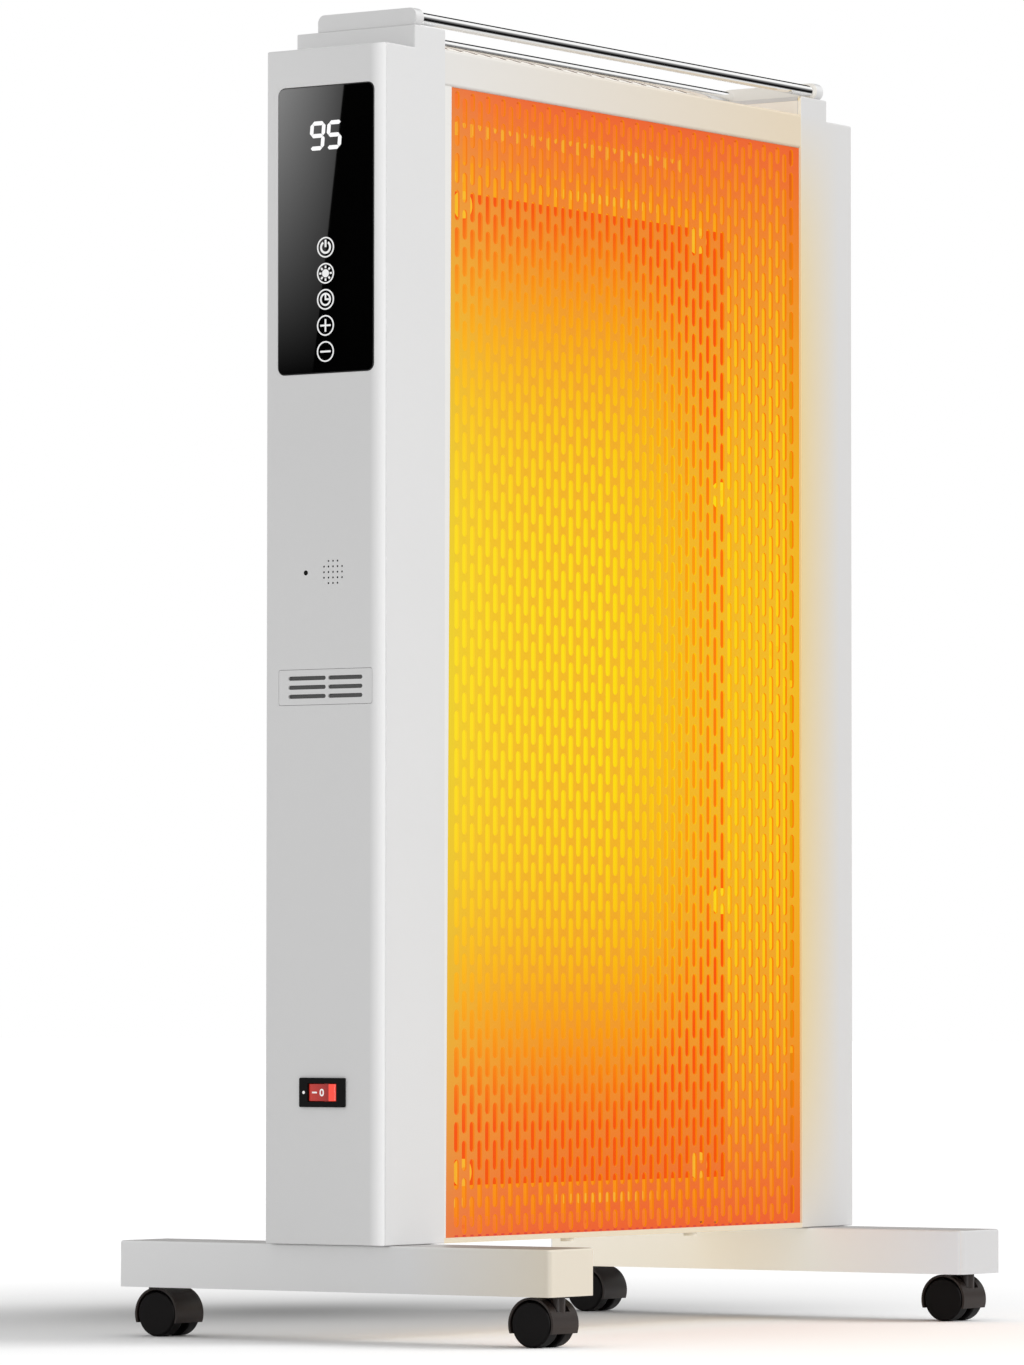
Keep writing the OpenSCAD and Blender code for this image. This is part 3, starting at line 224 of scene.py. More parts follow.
def put(name, parts, look, body="heater", stands_for=(), soft=40, facing=False):
    """Makes one mesh of all parts, in metres, lets Blender turn its faces outwards if asked, and
    hands it to the frame: the body it rides on and the CAD pieces it stands for."""
    points, faces, start = [], [], 0
    for p, groups in parts:
        points.append(p)
        for g in groups:
            faces += (g + start).tolist()
        start += len(p)
    mesh = bpy.data.meshes.new(name)
    mesh.from_pydata((np.concatenate(points) * MM).tolist(), [], faces)
    if mesh.validate():
        print(name, "had faces that Blender mended")
    if facing:
        bm = bmesh.new()
        bm.from_mesh(mesh)
        bmesh.ops.recalc_face_normals(bm, faces=bm.faces)
        bm.to_mesh(mesh)
        bm.free()
    mesh.polygons.foreach_set("use_smooth", np.ones(len(mesh.polygons), bool))
    mesh.set_sharp_from_angle(angle=math.radians(soft))
    mesh.materials.append(look)
    piece = bpy.data.objects.new(name, mesh)
    bpy.context.collection.objects.link(piece)
    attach(piece, body)
    if stands_for:
        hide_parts(*stands_for)
        dressed.append((piece, stands_for))
    even = piece.modifiers.new("even shade", "WEIGHTED_NORMAL")
    even.weight = 100
    even.keep_sharp = True
    size = np.ptp(np.concatenate(points), 0)
    print(f"{name}: {len(faces)} faces, {size[0]:.1f} x {size[1]:.1f} x {size[2]:.1f} mm")
    return piece

def mirrored(parts, signs=(-1, 1, 1)):
    """The same parts on the other side of X = 0, or of another plane by its signs, with every
    face turned over to match."""
    return [(p * signs, [g[:, ::-1] for g in groups]) for p, groups in parts]

def walled(piece, t):
    """Gives a skin its wall, grown inwards from the face that was modelled. The wall's open edge
    is a new narrow face, so corners over 40 degrees are split for shading after it."""
    corners = piece.modifiers.new("corners", "EDGE_SPLIT")
    corners.split_angle = math.radians(40)
    piece.modifiers.move(len(piece.modifiers) - 1, 0)
    wall = piece.modifiers.new("wall", "SOLIDIFY")
    wall.thickness = t * MM
    wall.offset = -1
    wall.use_even_offset = True
    piece.modifiers.move(len(piece.modifiers) - 1, 0)

# %% [markdown]
# ## Finishes
# Moulded white plastic and powder-coated sheet differ in one thing that the eye catches: plastic
# has a faint, soft orange peel and a clear gloss, powder coat has a finer and stronger grain.
# Photographs of such grain could be wrapped round the pieces, but noise computed in the material
# needs no wrapping and has the right size everywhere, because it reads metres. The glow further
# down is a formula in the material too. Nodes are long to write out, so a value that a node works
# out may be used in plain arithmetic here, and every sign adds the math node that it stands for.

# %% Node materials written as arithmetic
class Value:
    """A number that a material works out: each operator on it adds one math node."""
    def __init__(self, graph, socket):
        self.graph, self.socket = graph, socket

    def __rsub__(self, other):
        return self.graph.maths("SUBTRACT", other, self)

def operator(kind):
    """Method that adds a math node of a kind."""
    return lambda value, other=0.0: value.graph.maths(kind, value, other)

for names, kind in (("__add__ __radd__", "ADD"), ("__sub__", "SUBTRACT"), ("__mul__", "MULTIPLY"),
                    ("__truediv__", "DIVIDE"), ("__pow__", "POWER"), ("__lt__", "LESS_THAN"),
                    ("__gt__", "GREATER_THAN"), ("__abs__", "ABSOLUTE"), ("exp", "EXPONENT"),
                    ("at_least", "MAXIMUM")):
    for name in names.split():
        setattr(Value, name, operator(kind))

class Graph:
    """Short ways to add nodes to the tree of a material or a world."""
    def __init__(self, owner):
        self.nodes, self.links = owner.node_tree.nodes, owner.node_tree.links
        self.shader = self.nodes.get("Principled BSDF")

    def feed(self, socket, value):
        """Links a value or an output to a socket, or sets the socket to a constant."""
        value = value.socket if isinstance(value, Value) else value
        if isinstance(value, bpy.types.NodeSocket):
            self.links.new(value, socket)
        else:
            socket.default_value = value

    def node(self, kind, inputs=(), **attributes):
        """New node's outputs: attributes by name, and inputs by name or number."""
        n = self.nodes.new("ShaderNode" + kind)
        for key, value in attributes.items():
            setattr(n, key, value)
        for key, value in dict(inputs).items():
            self.feed(n.inputs[key], value)
        return n.outputs

    def maths(self, kind, *values):
        """Math node of a kind on one or two values."""
        return Value(self, self.node("Math", enumerate(values), operation=kind)[0])

    def place(self):
        """X, Y and Z of a point of the piece, in metres."""
        spot = self.node("TexCoord")["Object"]
        return [Value(self, s) for s in self.node("SeparateXYZ", {0: spot})]

    def rays(self, *kinds):
        """For each kind of ray, one on such a ray and nought on others."""
        path = self.node("LightPath")
        return [Value(self, path[f"Is {kind} Ray"]) for kind in kinds]

    def ramp(self, value, start, end, low=0.0, high=1.0):
        """Goes evenly from low to high while the value goes from start to end."""
        spans = {"Value": value, "From Min": start, "From Max": end, "To Min": low, "To Max": high}
        return Value(self, self.node("MapRange", spans)["Result"])

    def blend(self, share, a, b, kind="MIX"):
        """Colour a with a share of colour b mixed in, or of the product of both."""
        return self.node("Mix", {"Factor": share, "A": a, "B": b}, data_type="RGBA",
                         blend_type=kind)["Result"]

    def set(self, **values):
        """Sets or links inputs of the main shader, with _ for the spaces in their names."""
        for key, value in values.items():
            self.feed(self.shader.inputs[key.replace("_", " ")], value)

def finish(name, colour, rough, metal=0.0, **more):
    """New material with the constant numbers set straight on its shader."""
    mat = bpy.data.materials.new(name)
    mat.use_nodes = True
    Graph(mat).set(Base_Color=(*colour, 1), Roughness=rough, Metallic=metal, **more)
    return mat

def grain(mat, size, height, spread=0.0):
    """Noise of a given size in metres: it raises the surface by height, and where spread is given
    it also varies the roughness by that much each way."""
    g = Graph(mat)
    spot = g.node("TexCoord")["Object"]
    noise = g.node("TexNoise", {"Vector": spot, "Scale": 1 / size, "Detail": 3})["Fac"]
    g.set(Normal=g.node("Bump", {"Strength": 1, "Distance": height, "Height": noise})["Normal"])
    if spread:
        rough = g.shader.inputs["Roughness"].default_value
        cloud = g.node("TexNoise", {"Vector": spot, "Scale": 1 / (size * 40)})["Fac"]
        g.set(Roughness=g.ramp(cloud, 0.0, 1.0, rough - spread, rough + spread))
    return mat

# %% White plastic and white sheet
MOULDED, POWDER = (0.0012, 4e-6, 0.05), (0.0006, 8e-6)
COAT = {"Coat_Weight": 0.15, "Coat_Roughness": 0.2}
white = (0.80, 0.80, 0.80)
white_plastic = grain(finish("white moulded plastic", white, 0.32, **COAT), *MOULDED)
white_sheet = grain(finish("white powder coat", (0.80, 0.795, 0.78), 0.45), *POWDER, 0.04)
trim_white = grain(finish("pale trim lip", (0.87, 0.86, 0.83), 0.35), 0.0012, 5e-6, 0.05)

# %% [markdown]
# White pieces near the element are not plain white to the eye: they catch its light, most of it
# beside the glowing sheet and less further away. Real light from the ribbon would do this too, but
# it is far stronger than the paint can show. So this light is painted: the paint itself is tinted
# along an axis, and the sides that face the element give off a little light. The same tint along an
# axis also paints light and shade on the feet. Materials read metres, so all places in them are in
# metres too.

# %% Paint tinted with painted light and shade
GLOW_Z = 0.36

def tone_with_painted_light(mat, axis, start, end, tint, front=None, height=None):
    """Painted light and shade: multiplies the paint by a colour that goes from white at start to
    the tint at end, both in metres along an axis. With front set, only what lies before that Y is
    tinted. With height set, the tint fades as 1 - (|z - 0.36| / height) ** 5."""
    g = Graph(mat)
    x, y, z = g.place()
    share = g.ramp({"X": x, "Y": y, "Z": z}[axis], start, end)
    if front is not None:
        share = share * (y < front)
    if height:
        share = share * (1.0 - (abs(z - GLOW_Z) / height) ** 5.0).at_least(0.0)
    paint = g.shader.inputs["Base Color"]
    below = paint.links[0].from_socket if paint.is_linked else paint.default_value[:]
    g.set(Base_Color=g.blend(share, below, (*tint, 1), "MULTIPLY"))
    return mat

def catches_light(mat, limit, front, rear=None, y0=-0.13, y1=0.03, before=1.0):
    """Adds light to what lies left of the limit in X and before a value in Y. Its colour goes from
    the front one at y0 to the rear one at y1, or is the front one all along."""
    g = Graph(mat)
    x, y, _ = g.place()
    g.set(Emission_Color=g.blend(g.ramp(y, y0, y1), (*front, 1), (*(rear or front), 1)),
          Emission_Strength=(x < limit) * (y < before))
    return mat

# Painted warm light: the front rail's white powder coat is tinted warmer towards the right, as if
# lit by the glow.
rail_paint_with_painted_glow = tone_with_painted_light(grain(finish("rail powder coat with painted glow", (0.80, 0.79, 0.77), 0.45), *POWDER),
                   "X", -0.20, 0.16, (1.0, 0.86, 0.66))
# Painted shade and light: the plain column's plastic is a little darker than the control column's
# as painted shade, and beside the grille it is tinted warm and gives off a little warm light as
# painted glow.
edge_plastic_with_painted_light = grain(finish("plastic with painted shade and glow", (0.765, 0.76, 0.755), 0.32, **COAT),
                     *MOULDED[:2])
tone_with_painted_light(edge_plastic_with_painted_light, "X", 0.216, 0.176, (1.16, 0.92, 0.47), front=-0.03, height=0.32)
catches_light(edge_plastic_with_painted_light, 0.1758, (0.28, 0.22, 0.12), before=-0.0364)
# Painted highlight: light is added on the control column's side along its front corner, fading
# towards the rear.
corner_plastic_with_painted_highlight = grain(finish("plastic with a painted corner highlight", white, 0.32, **COAT), *MOULDED)
catches_light(corner_plastic_with_painted_highlight, -0.2288, (0.33, 0.33, 0.33), (0, 0, 0), -0.0382, -0.0285, -0.028)
# Painted warm light: the right bracket's inner side gives off a little warm light.
bracket_plastic_with_painted_light = grain(finish("bracket with painted warm light", white, 0.32), *MOULDED)
catches_light(bracket_plastic_with_painted_light, 0.1940, (0.16, 0.13, 0.08))

# %% Foot paints with painted light and shade
# The two feet are one white plastic. The left foot's paint is paler as painted light, tinted warm
# towards the front as painted glow light, and paler still towards the rear.
left_foot_paint_with_painted_light_and_shade = grain(finish("left foot plastic with painted light and shade", (0.835, 0.835, 0.835), 0.35),
                        0.0012, 5e-6, 0.05)
tone_with_painted_light(left_foot_paint_with_painted_light_and_shade, "Y", -0.05, -0.135, (0.98, 0.895, 0.745))
tone_with_painted_light(left_foot_paint_with_painted_light_and_shade, "Y", 0.0, 0.13, (1.13, 1.13, 1.13))
# The right foot's paint is darker as painted shade. Its inner side face is made paler as a painted
# highlight and gives off a little light, cool at the front and warm further back.
right_foot_paint_with_painted_light_and_shade = grain(finish("right foot plastic with painted light and shade", (0.72, 0.72, 0.725), 0.35), 0.0012, 5e-6)
tone_with_painted_light(right_foot_paint_with_painted_light_and_shade, "X", 0.1855, 0.1832, (1.3, 1.3, 1.3))
catches_light(right_foot_paint_with_painted_light_and_shade, 0.1832, (0.07, 0.118, 0.15), (0.29, 0.235, 0.124))
# Painted shade: the flat tops of both feet are darker.
for paint in (left_foot_paint_with_painted_light_and_shade, right_foot_paint_with_painted_light_and_shade):
    tone_with_painted_light(paint, "Z", 0.0508, 0.0510, (0.55, 0.53, 0.52))

# %% [markdown]
# ## Glow
# A mica heater's ribbon makes its sheets glow, brightest in the middle and redder towards the
# edges, and everything around it catches that light. Real lamps inside would light the grille from
# behind too, but they need many samples and give grainy results. Here each warm surface gives off
# a little light of its own, whose colour is a formula in height and width: the green share falls
# with a power of the distance from the middle, so yellow turns to orange and then to red. Other
# surfaces get half of that light, because the photograph shows only a faint warm cast on them.

# %% A warm surface
CHAMBER_X, CHAMBER_Y, CHAMBER_Z0, CHAMBER_Z1 = 0.17575, 0.0372, 0.0523, 0.6777
GAMMA = 2.2

def warm(name, top, fall, reach, power, blue, share, side=0.0, left=0.0, red=0.97, low=0.02,
         rough=0.6, outside=None, above=None):
    """Emission of colour (red, g, b). g = top - fall (|z - 0.36| / reach) ** power - side * e,
    where e is the 1.6th power of how far x lies right of 0.02 m, per 0.09 m. b goes from the
    second blue value in the middle to the first at the ends. Left is added to both towards the
    left edge, where red falls a little, and g stays above low. Both are as a screen shows them,
    and GAMMA turns them into light. Share is the part that is emitted, and the rest of the colour
    is plain paint that reflects. The camera sees all of the light, other pieces get half of it,
    and mirrors a tenth of that. With a colour for outside, only what lies in the heating chamber
    glows, and the rest of the piece is plain paint of that colour. Above is the light that faces
    over the chamber catch between the two top rails."""
    mat = finish(name, (0.2, 0.1, 0.03), rough, Specular_IOR_Level=0.2)
    g = Graph(mat)
    x, y, z = g.place()
    t = (abs(z - GLOW_Z) / reach) ** power
    green, tint = t * -fall + top, t * (blue[0] - blue[1]) + blue[1]
    if side:
        green = ((x - 0.02).at_least(0.0) / 0.09) ** 1.6 * -side + green
        tint = (x * -0.5 + tint).at_least(0.02)
    if left:
        edge = ((-0.03 - x).at_least(0.0) / 0.13) ** 2.0
        green, tint, red = edge * left + green, edge * left + tint, edge ** 5.0 * -0.025 + red
    colour = g.node("CombineColor", {0: t * -0.04 + red, 1: green.at_least(low) ** GAMMA,
                                     2: tint ** GAMMA})[0]
    paint = g.blend(1.0, colour, (1 - share, 1 - share, 1 - share, 1), "MULTIPLY")
    camera, mirror = g.rays("Camera", "Glossy")
    strength = camera * (0.5 * share) + 0.5 * share + mirror * (-0.45 * share)
    if outside:
        lit = ((abs(x) < CHAMBER_X) * (abs(y) < CHAMBER_Y) * (z < CHAMBER_Z1)
               * (z > CHAMBER_Z0))
        paint, strength = g.blend(lit, (*outside, 1), paint), lit * strength
    if above:
        over = (z > CHAMBER_Z1) * (abs(y) < CHAMBER_Y)
        colour, strength = g.blend(over, colour, (*above, 1)), strength.at_least(over)
    g.set(Base_Color=paint, Emission_Color=colour, Emission_Strength=strength)
    return mat

inner = (0.84, 0.33, 0.30, 3.2, (0.20, 0.11), 0.94)
mica_glow = warm("glowing mica", 0.88, 0.51, 0.245, 2.9, (0.03, 0.085), 0.97, side=0.26,
                 red=0.985, low=0.34)
cut_glow = warm("cut edges in the glow", 0.83, 0.38, 0.245, 2.9, (0.06, 0.10), 0.96, side=0.15,
                red=0.985, low=0.50)
inner_glow = warm("inside lit by the element", *inner, red=1.0, outside=(0.76, 0.74, 0.71),
                  above=(0.26, 0.22, 0.17))
sheet_glow = grain(warm("white sheet with its inside lit", *inner, red=1.0, rough=0.45,
                        outside=(0.80, 0.795, 0.78), above=(0.24, 0.21, 0.16)), *POWDER)
# Painted warm light: outside the chamber the bottom sheet is cream, as if lit by the glow.
pan_glow = grain(warm("bottom sheet with its inside lit", *inner, red=1.0, rough=0.45,
                      outside=(0.86, 0.76, 0.58)), *POWDER)
# Painted light: outside the chamber the screw heads are paler and warm, as if lit by the glow.
screw_glow = warm("screw heads with painted glow light", 0.80, *inner[1:], rough=0.35,
                  outside=(0.95, 0.90, 0.76))
frame_glow = warm("element frame in the glow", 0.90, 0.38, 0.30, 2.6, (0.10, 0.12), 0.97, red=1.0)
washer_glow = warm("washers in the glow", 0.90, 0.22, 0.30, 1.9, (0.22, 0.11), 0.92, red=1.0)
grille_glow = warm("grille lit from behind", 0.712, 0.33, 0.30, 2.2, (0.15, 0.04), 0.84,
                   left=0.075, red=0.88)
print("materials so far:", len(bpy.data.materials))

# %% [markdown]
# ## Columns
# Each column is one deep moulded shell, open on the side that faces the heating chamber, with a
# lower outer shoulder and a taller crown. One way is to cut a box and bevel its edges. Here the
# open outline (rear wall, outer wall, front wall) is carried upwards in rings instead, and the
# rings shrink by a quarter round at the top and bottom, so every edge has its small radius from
# the start. Solidify then grows the wall inwards.

# %% One column's outline and skin
FLAT_ROW, FLAT_POINT = 3, 7

def shell_ring(outer, z, inset, corner):
    """Open outline of a column on the minus side, from its rear inner edge round to its front
    inner edge. The rear outer corner has a small radius. The front one is a quarter ellipse,
    as deep in X and Y as the corner says."""
    y, x = HALF_D - inset, -outer + inset
    s, (a, b) = max(0.8 - inset, 0.05), (max(c - inset, 0.05) for c in corner)
    front = arc(0, 0, 1, 180, 270, 10) * [a, b] + [x + a, -y + b]
    flat = np.concatenate([[[-INNER_X, y]], arc(x + s, y - s, s, 90, 180), front,
                           [[-INNER_X, -y]]])
    return lay(flat, "z", z)

def shell(outer, low, high, e, corner=(0.8, 0.8), window=False):
    """Bands between open rings with a quarter round of radius e at the top, and flat caps. With
    window set, the flat outer wall, which begins at the ring FLAT_ROW and its point FLAT_POINT, is
    left out, to be filled by a sheet with holes."""
    rings = np.array([shell_ring(outer, z, i, corner) for i, z in heights(low, high, 0.6, e)])
    n, m = rings.shape[:2]
    quads = bands(n, m, closed=False)
    if window:
        tall = (quads[:, 0] // m == FLAT_ROW) & (quads[:, 0] % m == FLAT_POINT)
        quads = quads[~tall]
    return rings, (rings.reshape(-1, 3), [quads, *caps(n, m)])

# %% [markdown]
# The control column's outer wall carries the glass, a receiver, a sounder behind a pattern of
# small holes, a vent and the power switch. Boolean cuts would do, yet they leave long thin faces.
# A flat sheet with holes is cleaner: its triangles are found once from all the outlines together.

# %% The control column's outer wall
SWITCH_Y, SWITCH_Z, PIVOT_X, VENT_Z = 1.05, 130.4, 226.0, 342.2
SOUND_Y, SOUND_Z, SOUND_PITCH, RECEIVER_Y = -4.8, 402.2, 2.9, 12.7
GLASS = (-30.85, 506.7, 30.85, 657.9)

def round_hole(y, z, d, k=4):
    """Circle of diameter d as four arcs."""
    return outline(around(y, z, d / 2, d / 2), [d / 2] * 4, 0, k)

sound_places = [(SOUND_Y + y * SOUND_PITCH, SOUND_Z + row * SOUND_PITCH)
                for row, n in zip(range(-2, 3), (3, 5, 5, 5, 3))
                for y in np.arange(n) - (n - 1) / 2]
side_holes = [outline((-31.1, 506.45, 31.1, 658.15), [4.25] * 4),
              outline(around(0, VENT_Z, 30.2, 9.4), [1.2] * 4),
              outline(around(SWITCH_Y, SWITCH_Z, 13.25, 6.3), [0.3] * 4),
              round_hole(RECEIVER_Y, SOUND_Z, 2.7, 6)]
side_holes += [round_hole(y, z, 1.1) for y, z in sound_places]
rings, body_skin = shell(HALF_W, COL_Z0, STEP_Z, 0.9, (1.6, 4.0), window=True)
za, zb = rings[[FLAT_ROW, FLAT_ROW + 1], 0, 2]
ya, yb = rings[FLAT_ROW][[FLAT_POINT + 1, FLAT_POINT], 1]
flat, tris = fill(np.array([[ya, za], [yb, za], [yb, zb], [ya, zb]]), side_holes)
side_wall = (lay(flat, "x", -HALF_W), [tris[:, ::-1]])
crown = shell(CROWN_X, STEP_Z - 1.5, CROWN_Z, 0.7)[1]

control_column = put("control_column", [weld([body_skin, side_wall]), crown], corner_plastic_with_painted_highlight,
                     stands_for=["control_column_shell"], facing=True)
walled(control_column, SHELL_T)

# %% The plain column
plain_body = weld([shell(HALF_W, COL_Z0, STEP_Z, 0.9)[1]])
plain_column = put("plain_column", mirrored([plain_body, crown]), edge_plastic_with_painted_light,
                   stands_for=["plain_column_shell"], facing=True)
walled(plain_column, SHELL_T)

# %% [markdown]
# ## Rails
# The top rails are folded from sheet: a lower lip, a face and a roof. A folded sheet is a path of
# straight runs and bend arcs, drawn once from the side and carried across the width. That gives
# the soft bend that a plain box lacks, and again Solidify makes the metal's thickness.

# %% Folded sheet carried across the width
def folded(corners, bend, k=5):
    """Open path through the corners, each inner corner replaced by an arc: the path leaves the
    corner's two sides at the bend radius and follows the circle that touches both."""
    c = np.asarray(corners, float)
    rows = [c[:1]]
    for a, b, d in zip(c[:-2], c[1:-1], c[2:]):
        u, v = (a - b) / np.linalg.norm(a - b), (d - b) / np.linalg.norm(d - b)
        t = np.linspace(0, np.pi / 2, k + 1)[:, None]
        rows.append(b + bend * (u * (1 - np.sin(t)) + v * (1 - np.cos(t))))
    rows.append(c[-1:])
    return np.concatenate(rows)

rail_path = folded([[-HALF_D + 11.4, RAIL_Z0], [-HALF_D, RAIL_Z0], [-HALF_D, RAIL_Z1],
                    [-HALF_D + 18.4, RAIL_Z1]], 1.6)
front = [(np.concatenate([lay(rail_path, "x", x) for x in (-INNER_X, INNER_X)]),
          [bands(2, len(rail_path), closed=False)[:, ::-1]])]
for place, parts, paint in (("front", front, rail_paint_with_painted_glow),
                            ("rear", mirrored(front, (1, -1, 1)), sheet_glow)):
    rail = put(f"{place}_rail", parts, paint, stands_for=[f"{place}_top_rail"])
    walled(rail, RAIL_T)

# %% [markdown]
# ## The punched grille
# The grille is the heater's face: 47 columns of upright round-ended slots, every second column
# shifted by half a pitch. There are about 1450 slots, so each may have only a few dozen faces. A
# cell is one rectangle with one slot. Sixteen points go round the slot and sixteen round the
# rectangle, at steps of a sixth of the pitch, so that a shifted neighbour meets the same points.

# %% One cell of the grille, and all cells at once
PITCH_X, PITCH_Z, SLOT_W, BRIDGE = 7.17, 19.68, 4.4, 3.5
COLUMNS, ROWS, FIRST_Z, CENTRE_X = 47, 30, 57.4, 2.5
LAST_Z = FIRST_Z + ROWS * PITCH_Z
SHEET_T, FOLD = 1.0, 9.0

def cell():
    """Outer loop and slot loop of equal count, both anticlockwise from the middle of their lower
    end. The slot is two half rounds joined by straight sides."""
    r, end = SLOT_W / 2, (BRIDGE + SLOT_W) / 2
    right = np.stack([np.full(7, PITCH_X / 2), np.linspace(0, PITCH_Z, 7)], 1)
    side = np.concatenate([arc(0, end, r, -90, 0, 3), [[r, PITCH_Z / 2]],
                           arc(0, PITCH_Z - end, r, 0, 90, 3)])
    return (np.concatenate([[[0, 0]], right, [[0, PITCH_Z]], right[::-1] * [-1, 1]]),
            np.concatenate([side, side[-2:0:-1] * [-1, 1]]))

def punched(corners, low, high):
    """Every cell moved to its corner: front and back rings between each slot and its cell, and
    the wall inside each slot."""
    outer, slots = ((corners[:, None] + loop).reshape(-1, 2) for loop in cell())
    m = len(cell()[0])
    i, j = np.meshgrid(np.arange(len(corners)), np.arange(m), indexing="ij")
    a, b = i * m + j, i * m + (j + 1) % m
    ring = np.stack([a, b, len(outer) + b, len(outer) + a], -1).reshape(-1, 4)
    flat = np.concatenate([outer, slots])
    return [(lay(flat, "y", low), [ring]), (lay(flat, "y", high), [ring[:, ::-1]]),
            (np.concatenate([lay(slots, "y", high), lay(slots, "y", low)]), [ring])]

columns = CENTRE_X + (np.arange(COLUMNS) - COLUMNS // 2) * PITCH_X
corners = np.array([[x, FIRST_Z + (i % 2 / 2 + k) * PITCH_Z]
                    for i, x in enumerate(columns) for k in range(ROWS)])
print("whole slots:", len(corners))

# %% [markdown]
# At the top and bottom edge the pattern simply runs out: one column ends in a short slot and the
# next in a plain strip. These few cells come from the flat filler, which takes any outline.

# %% The grille's ends, side strips and folded edges
def end_cell(x0, x1, za, zb, slot=None):
    """Plain or once-slotted rectangle with points at every sixth of the pitch on its sides."""
    steps = np.arange(-40, 400) * PITCH_Z / 6 + FIRST_Z
    steps = steps[(steps > za + 0.01) & (steps < zb - 0.01)]
    ends = [x0, (x0 + x1) / 2, x1] if abs(x1 - x0 - PITCH_X) < 0.01 else [x0, x1]
    loop = np.array([[x, za] for x in ends] + [[x1, z] for z in steps]
                    + [[x, zb] for x in ends[::-1]] + [[x0, z] for z in steps[::-1]])
    c, r = (x0 + x1) / 2, SLOT_W / 2
    holes = [outline((c - r, slot[0], c + r, slot[1]), [r] * 4, 0, 3)] if slot else []
    return two_faces(loop, holes, -GRILLE_Y, -GRILLE_Y + SHEET_T, "y", holes)

grille_parts = punched(corners, -GRILLE_Y, -GRILLE_Y + SHEET_T)
for i, x in enumerate(columns):
    shift, low_slot, high_slot = ((0, None, (649.55, 659.2)),
                                  (PITCH_Z / 2, (55.4, 65.5), None))[i % 2]
    a, b = x - PITCH_X / 2, x + PITCH_X / 2
    grille_parts += end_cell(a, b, PAN_Z1, FIRST_Z + shift, low_slot)
    grille_parts += end_cell(a, b, LAST_Z + shift, RAIL_Z0, high_slot)
grille_parts += end_cell(-INNER_X, columns[0] - PITCH_X / 2, PAN_Z1, RAIL_Z0)
grille_parts += end_cell(columns[-1] + PITCH_X / 2, INNER_X, PAN_Z1, RAIL_Z0)

TRAY, TRAY_R = (-INNER_X, PAN_Z1, INNER_X, RAIL_Z0), [0.3] * 4

def folded_edge(y0, y1):
    """The four folded edges of a tray as one rectangular tube."""
    return tube(outline(TRAY, TRAY_R, 0, 2), outline(TRAY, TRAY_R, SHEET_T, 2), y0, y1)

def more_looks(piece, looks, choose):
    """Adds looks to a piece, and gives each face the number of its look by what choose says of the
    faces' normals and of their middles in millimetres."""
    for look in looks:
        piece.data.materials.append(look)
    faces = piece.data.polygons
    normals, middles = np.zeros((2, len(faces) * 3))
    faces.foreach_get("normal", normals)
    faces.foreach_get("center", middles)
    number = choose(normals.reshape(-1, 3).T, middles.reshape(-1, 3).T / MM).astype(np.int32)
    faces.foreach_set("material_index", number)
    print(f"{piece.name}: faces per look {np.bincount(number).tolist()}")

grille = put("punched_grille",
             [weld(grille_parts), folded_edge(-GRILLE_Y + SHEET_T, -GRILLE_Y + FOLD)],
             grille_glow, stands_for=["front_grille"], facing=True)
more_looks(grille, [cut_glow], lambda normal, at:
           (np.abs(normal[1]) < 0.5) & (np.abs(at[1] + GRILLE_Y - SHEET_T / 2) < 0.3))

# %% [markdown]
# A row of fine dark red dashes runs along the grille's lower edge in the photograph, one under each
# column of slots. They are taken as small tabs of the folded edge, and their dark red is painted
# light and shade: a dim red glow of their own, darker than the grille's glow.

# %% Tabs at the grille's lower edge
# Painted glow and shade: the tabs give off a dim red light, darker than the grille.
tab_painted_dim_glow = grain(finish("tabs with painted dim red glow", (0.25, 0.02, 0.005), 0.6,
                       Emission_Color=(0.55, 0.02, 0.006, 1), Emission_Strength=0.8),
                0.0006, 4e-6)
tabs = [slab(around(x, PAN_Z1 + 0.65, 1.5, 0.5), [0.3] * 4, -GRILLE_Y - 0.05, -GRILLE_Y + 0.4,
             "y", (0.04, 0.04), 3) for x in columns]
put("grille_tabs", tabs, tab_painted_dim_glow)

# %% [markdown]
# ## Rear panel
# The rear panel is a plain tray with two rows of short air slots near the top and two near the
# bottom. Its outside is white like the rails. Its inside faces the element, so it glows softly.
# Each slot is a cut with a short collar drawn inwards. A plain cut would be simpler, but at a
# slant it would show the bright room behind, and in the photograph the slots look yellow instead.

# %% Rear panel with three finishes
AIR_ROWS, AIR_COLUMNS, AIR_PITCH, AIR_R, AIR_H = (654.0, 627.2, 75.5, 62.5), 48, 7.0, 1.4, 6.4
xs = (np.arange(AIR_COLUMNS) - (AIR_COLUMNS - 1) / 2) * AIR_PITCH

def air_slot(x, z, wider=0.0):
    """Outline of one air slot, or of one that is wider all round."""
    return outline(around(x, z, AIR_R, AIR_H / 2), [AIR_R] * 4, -wider, 3)

def by_side(normal, at):
    """The inside glows like the chamber. The slots' walls glow more, but for the lowest row."""
    inside = (normal[1] < -0.5) | (at[1] < 35.8)
    wall = (np.abs(normal[1]) < 0.5) & (at[1] > 34.5) & (np.abs(at[0]) < 170)
    lowest = wall & (at[2] < 68)
    return np.where(wall & ~lowest, 2, inside | lowest)

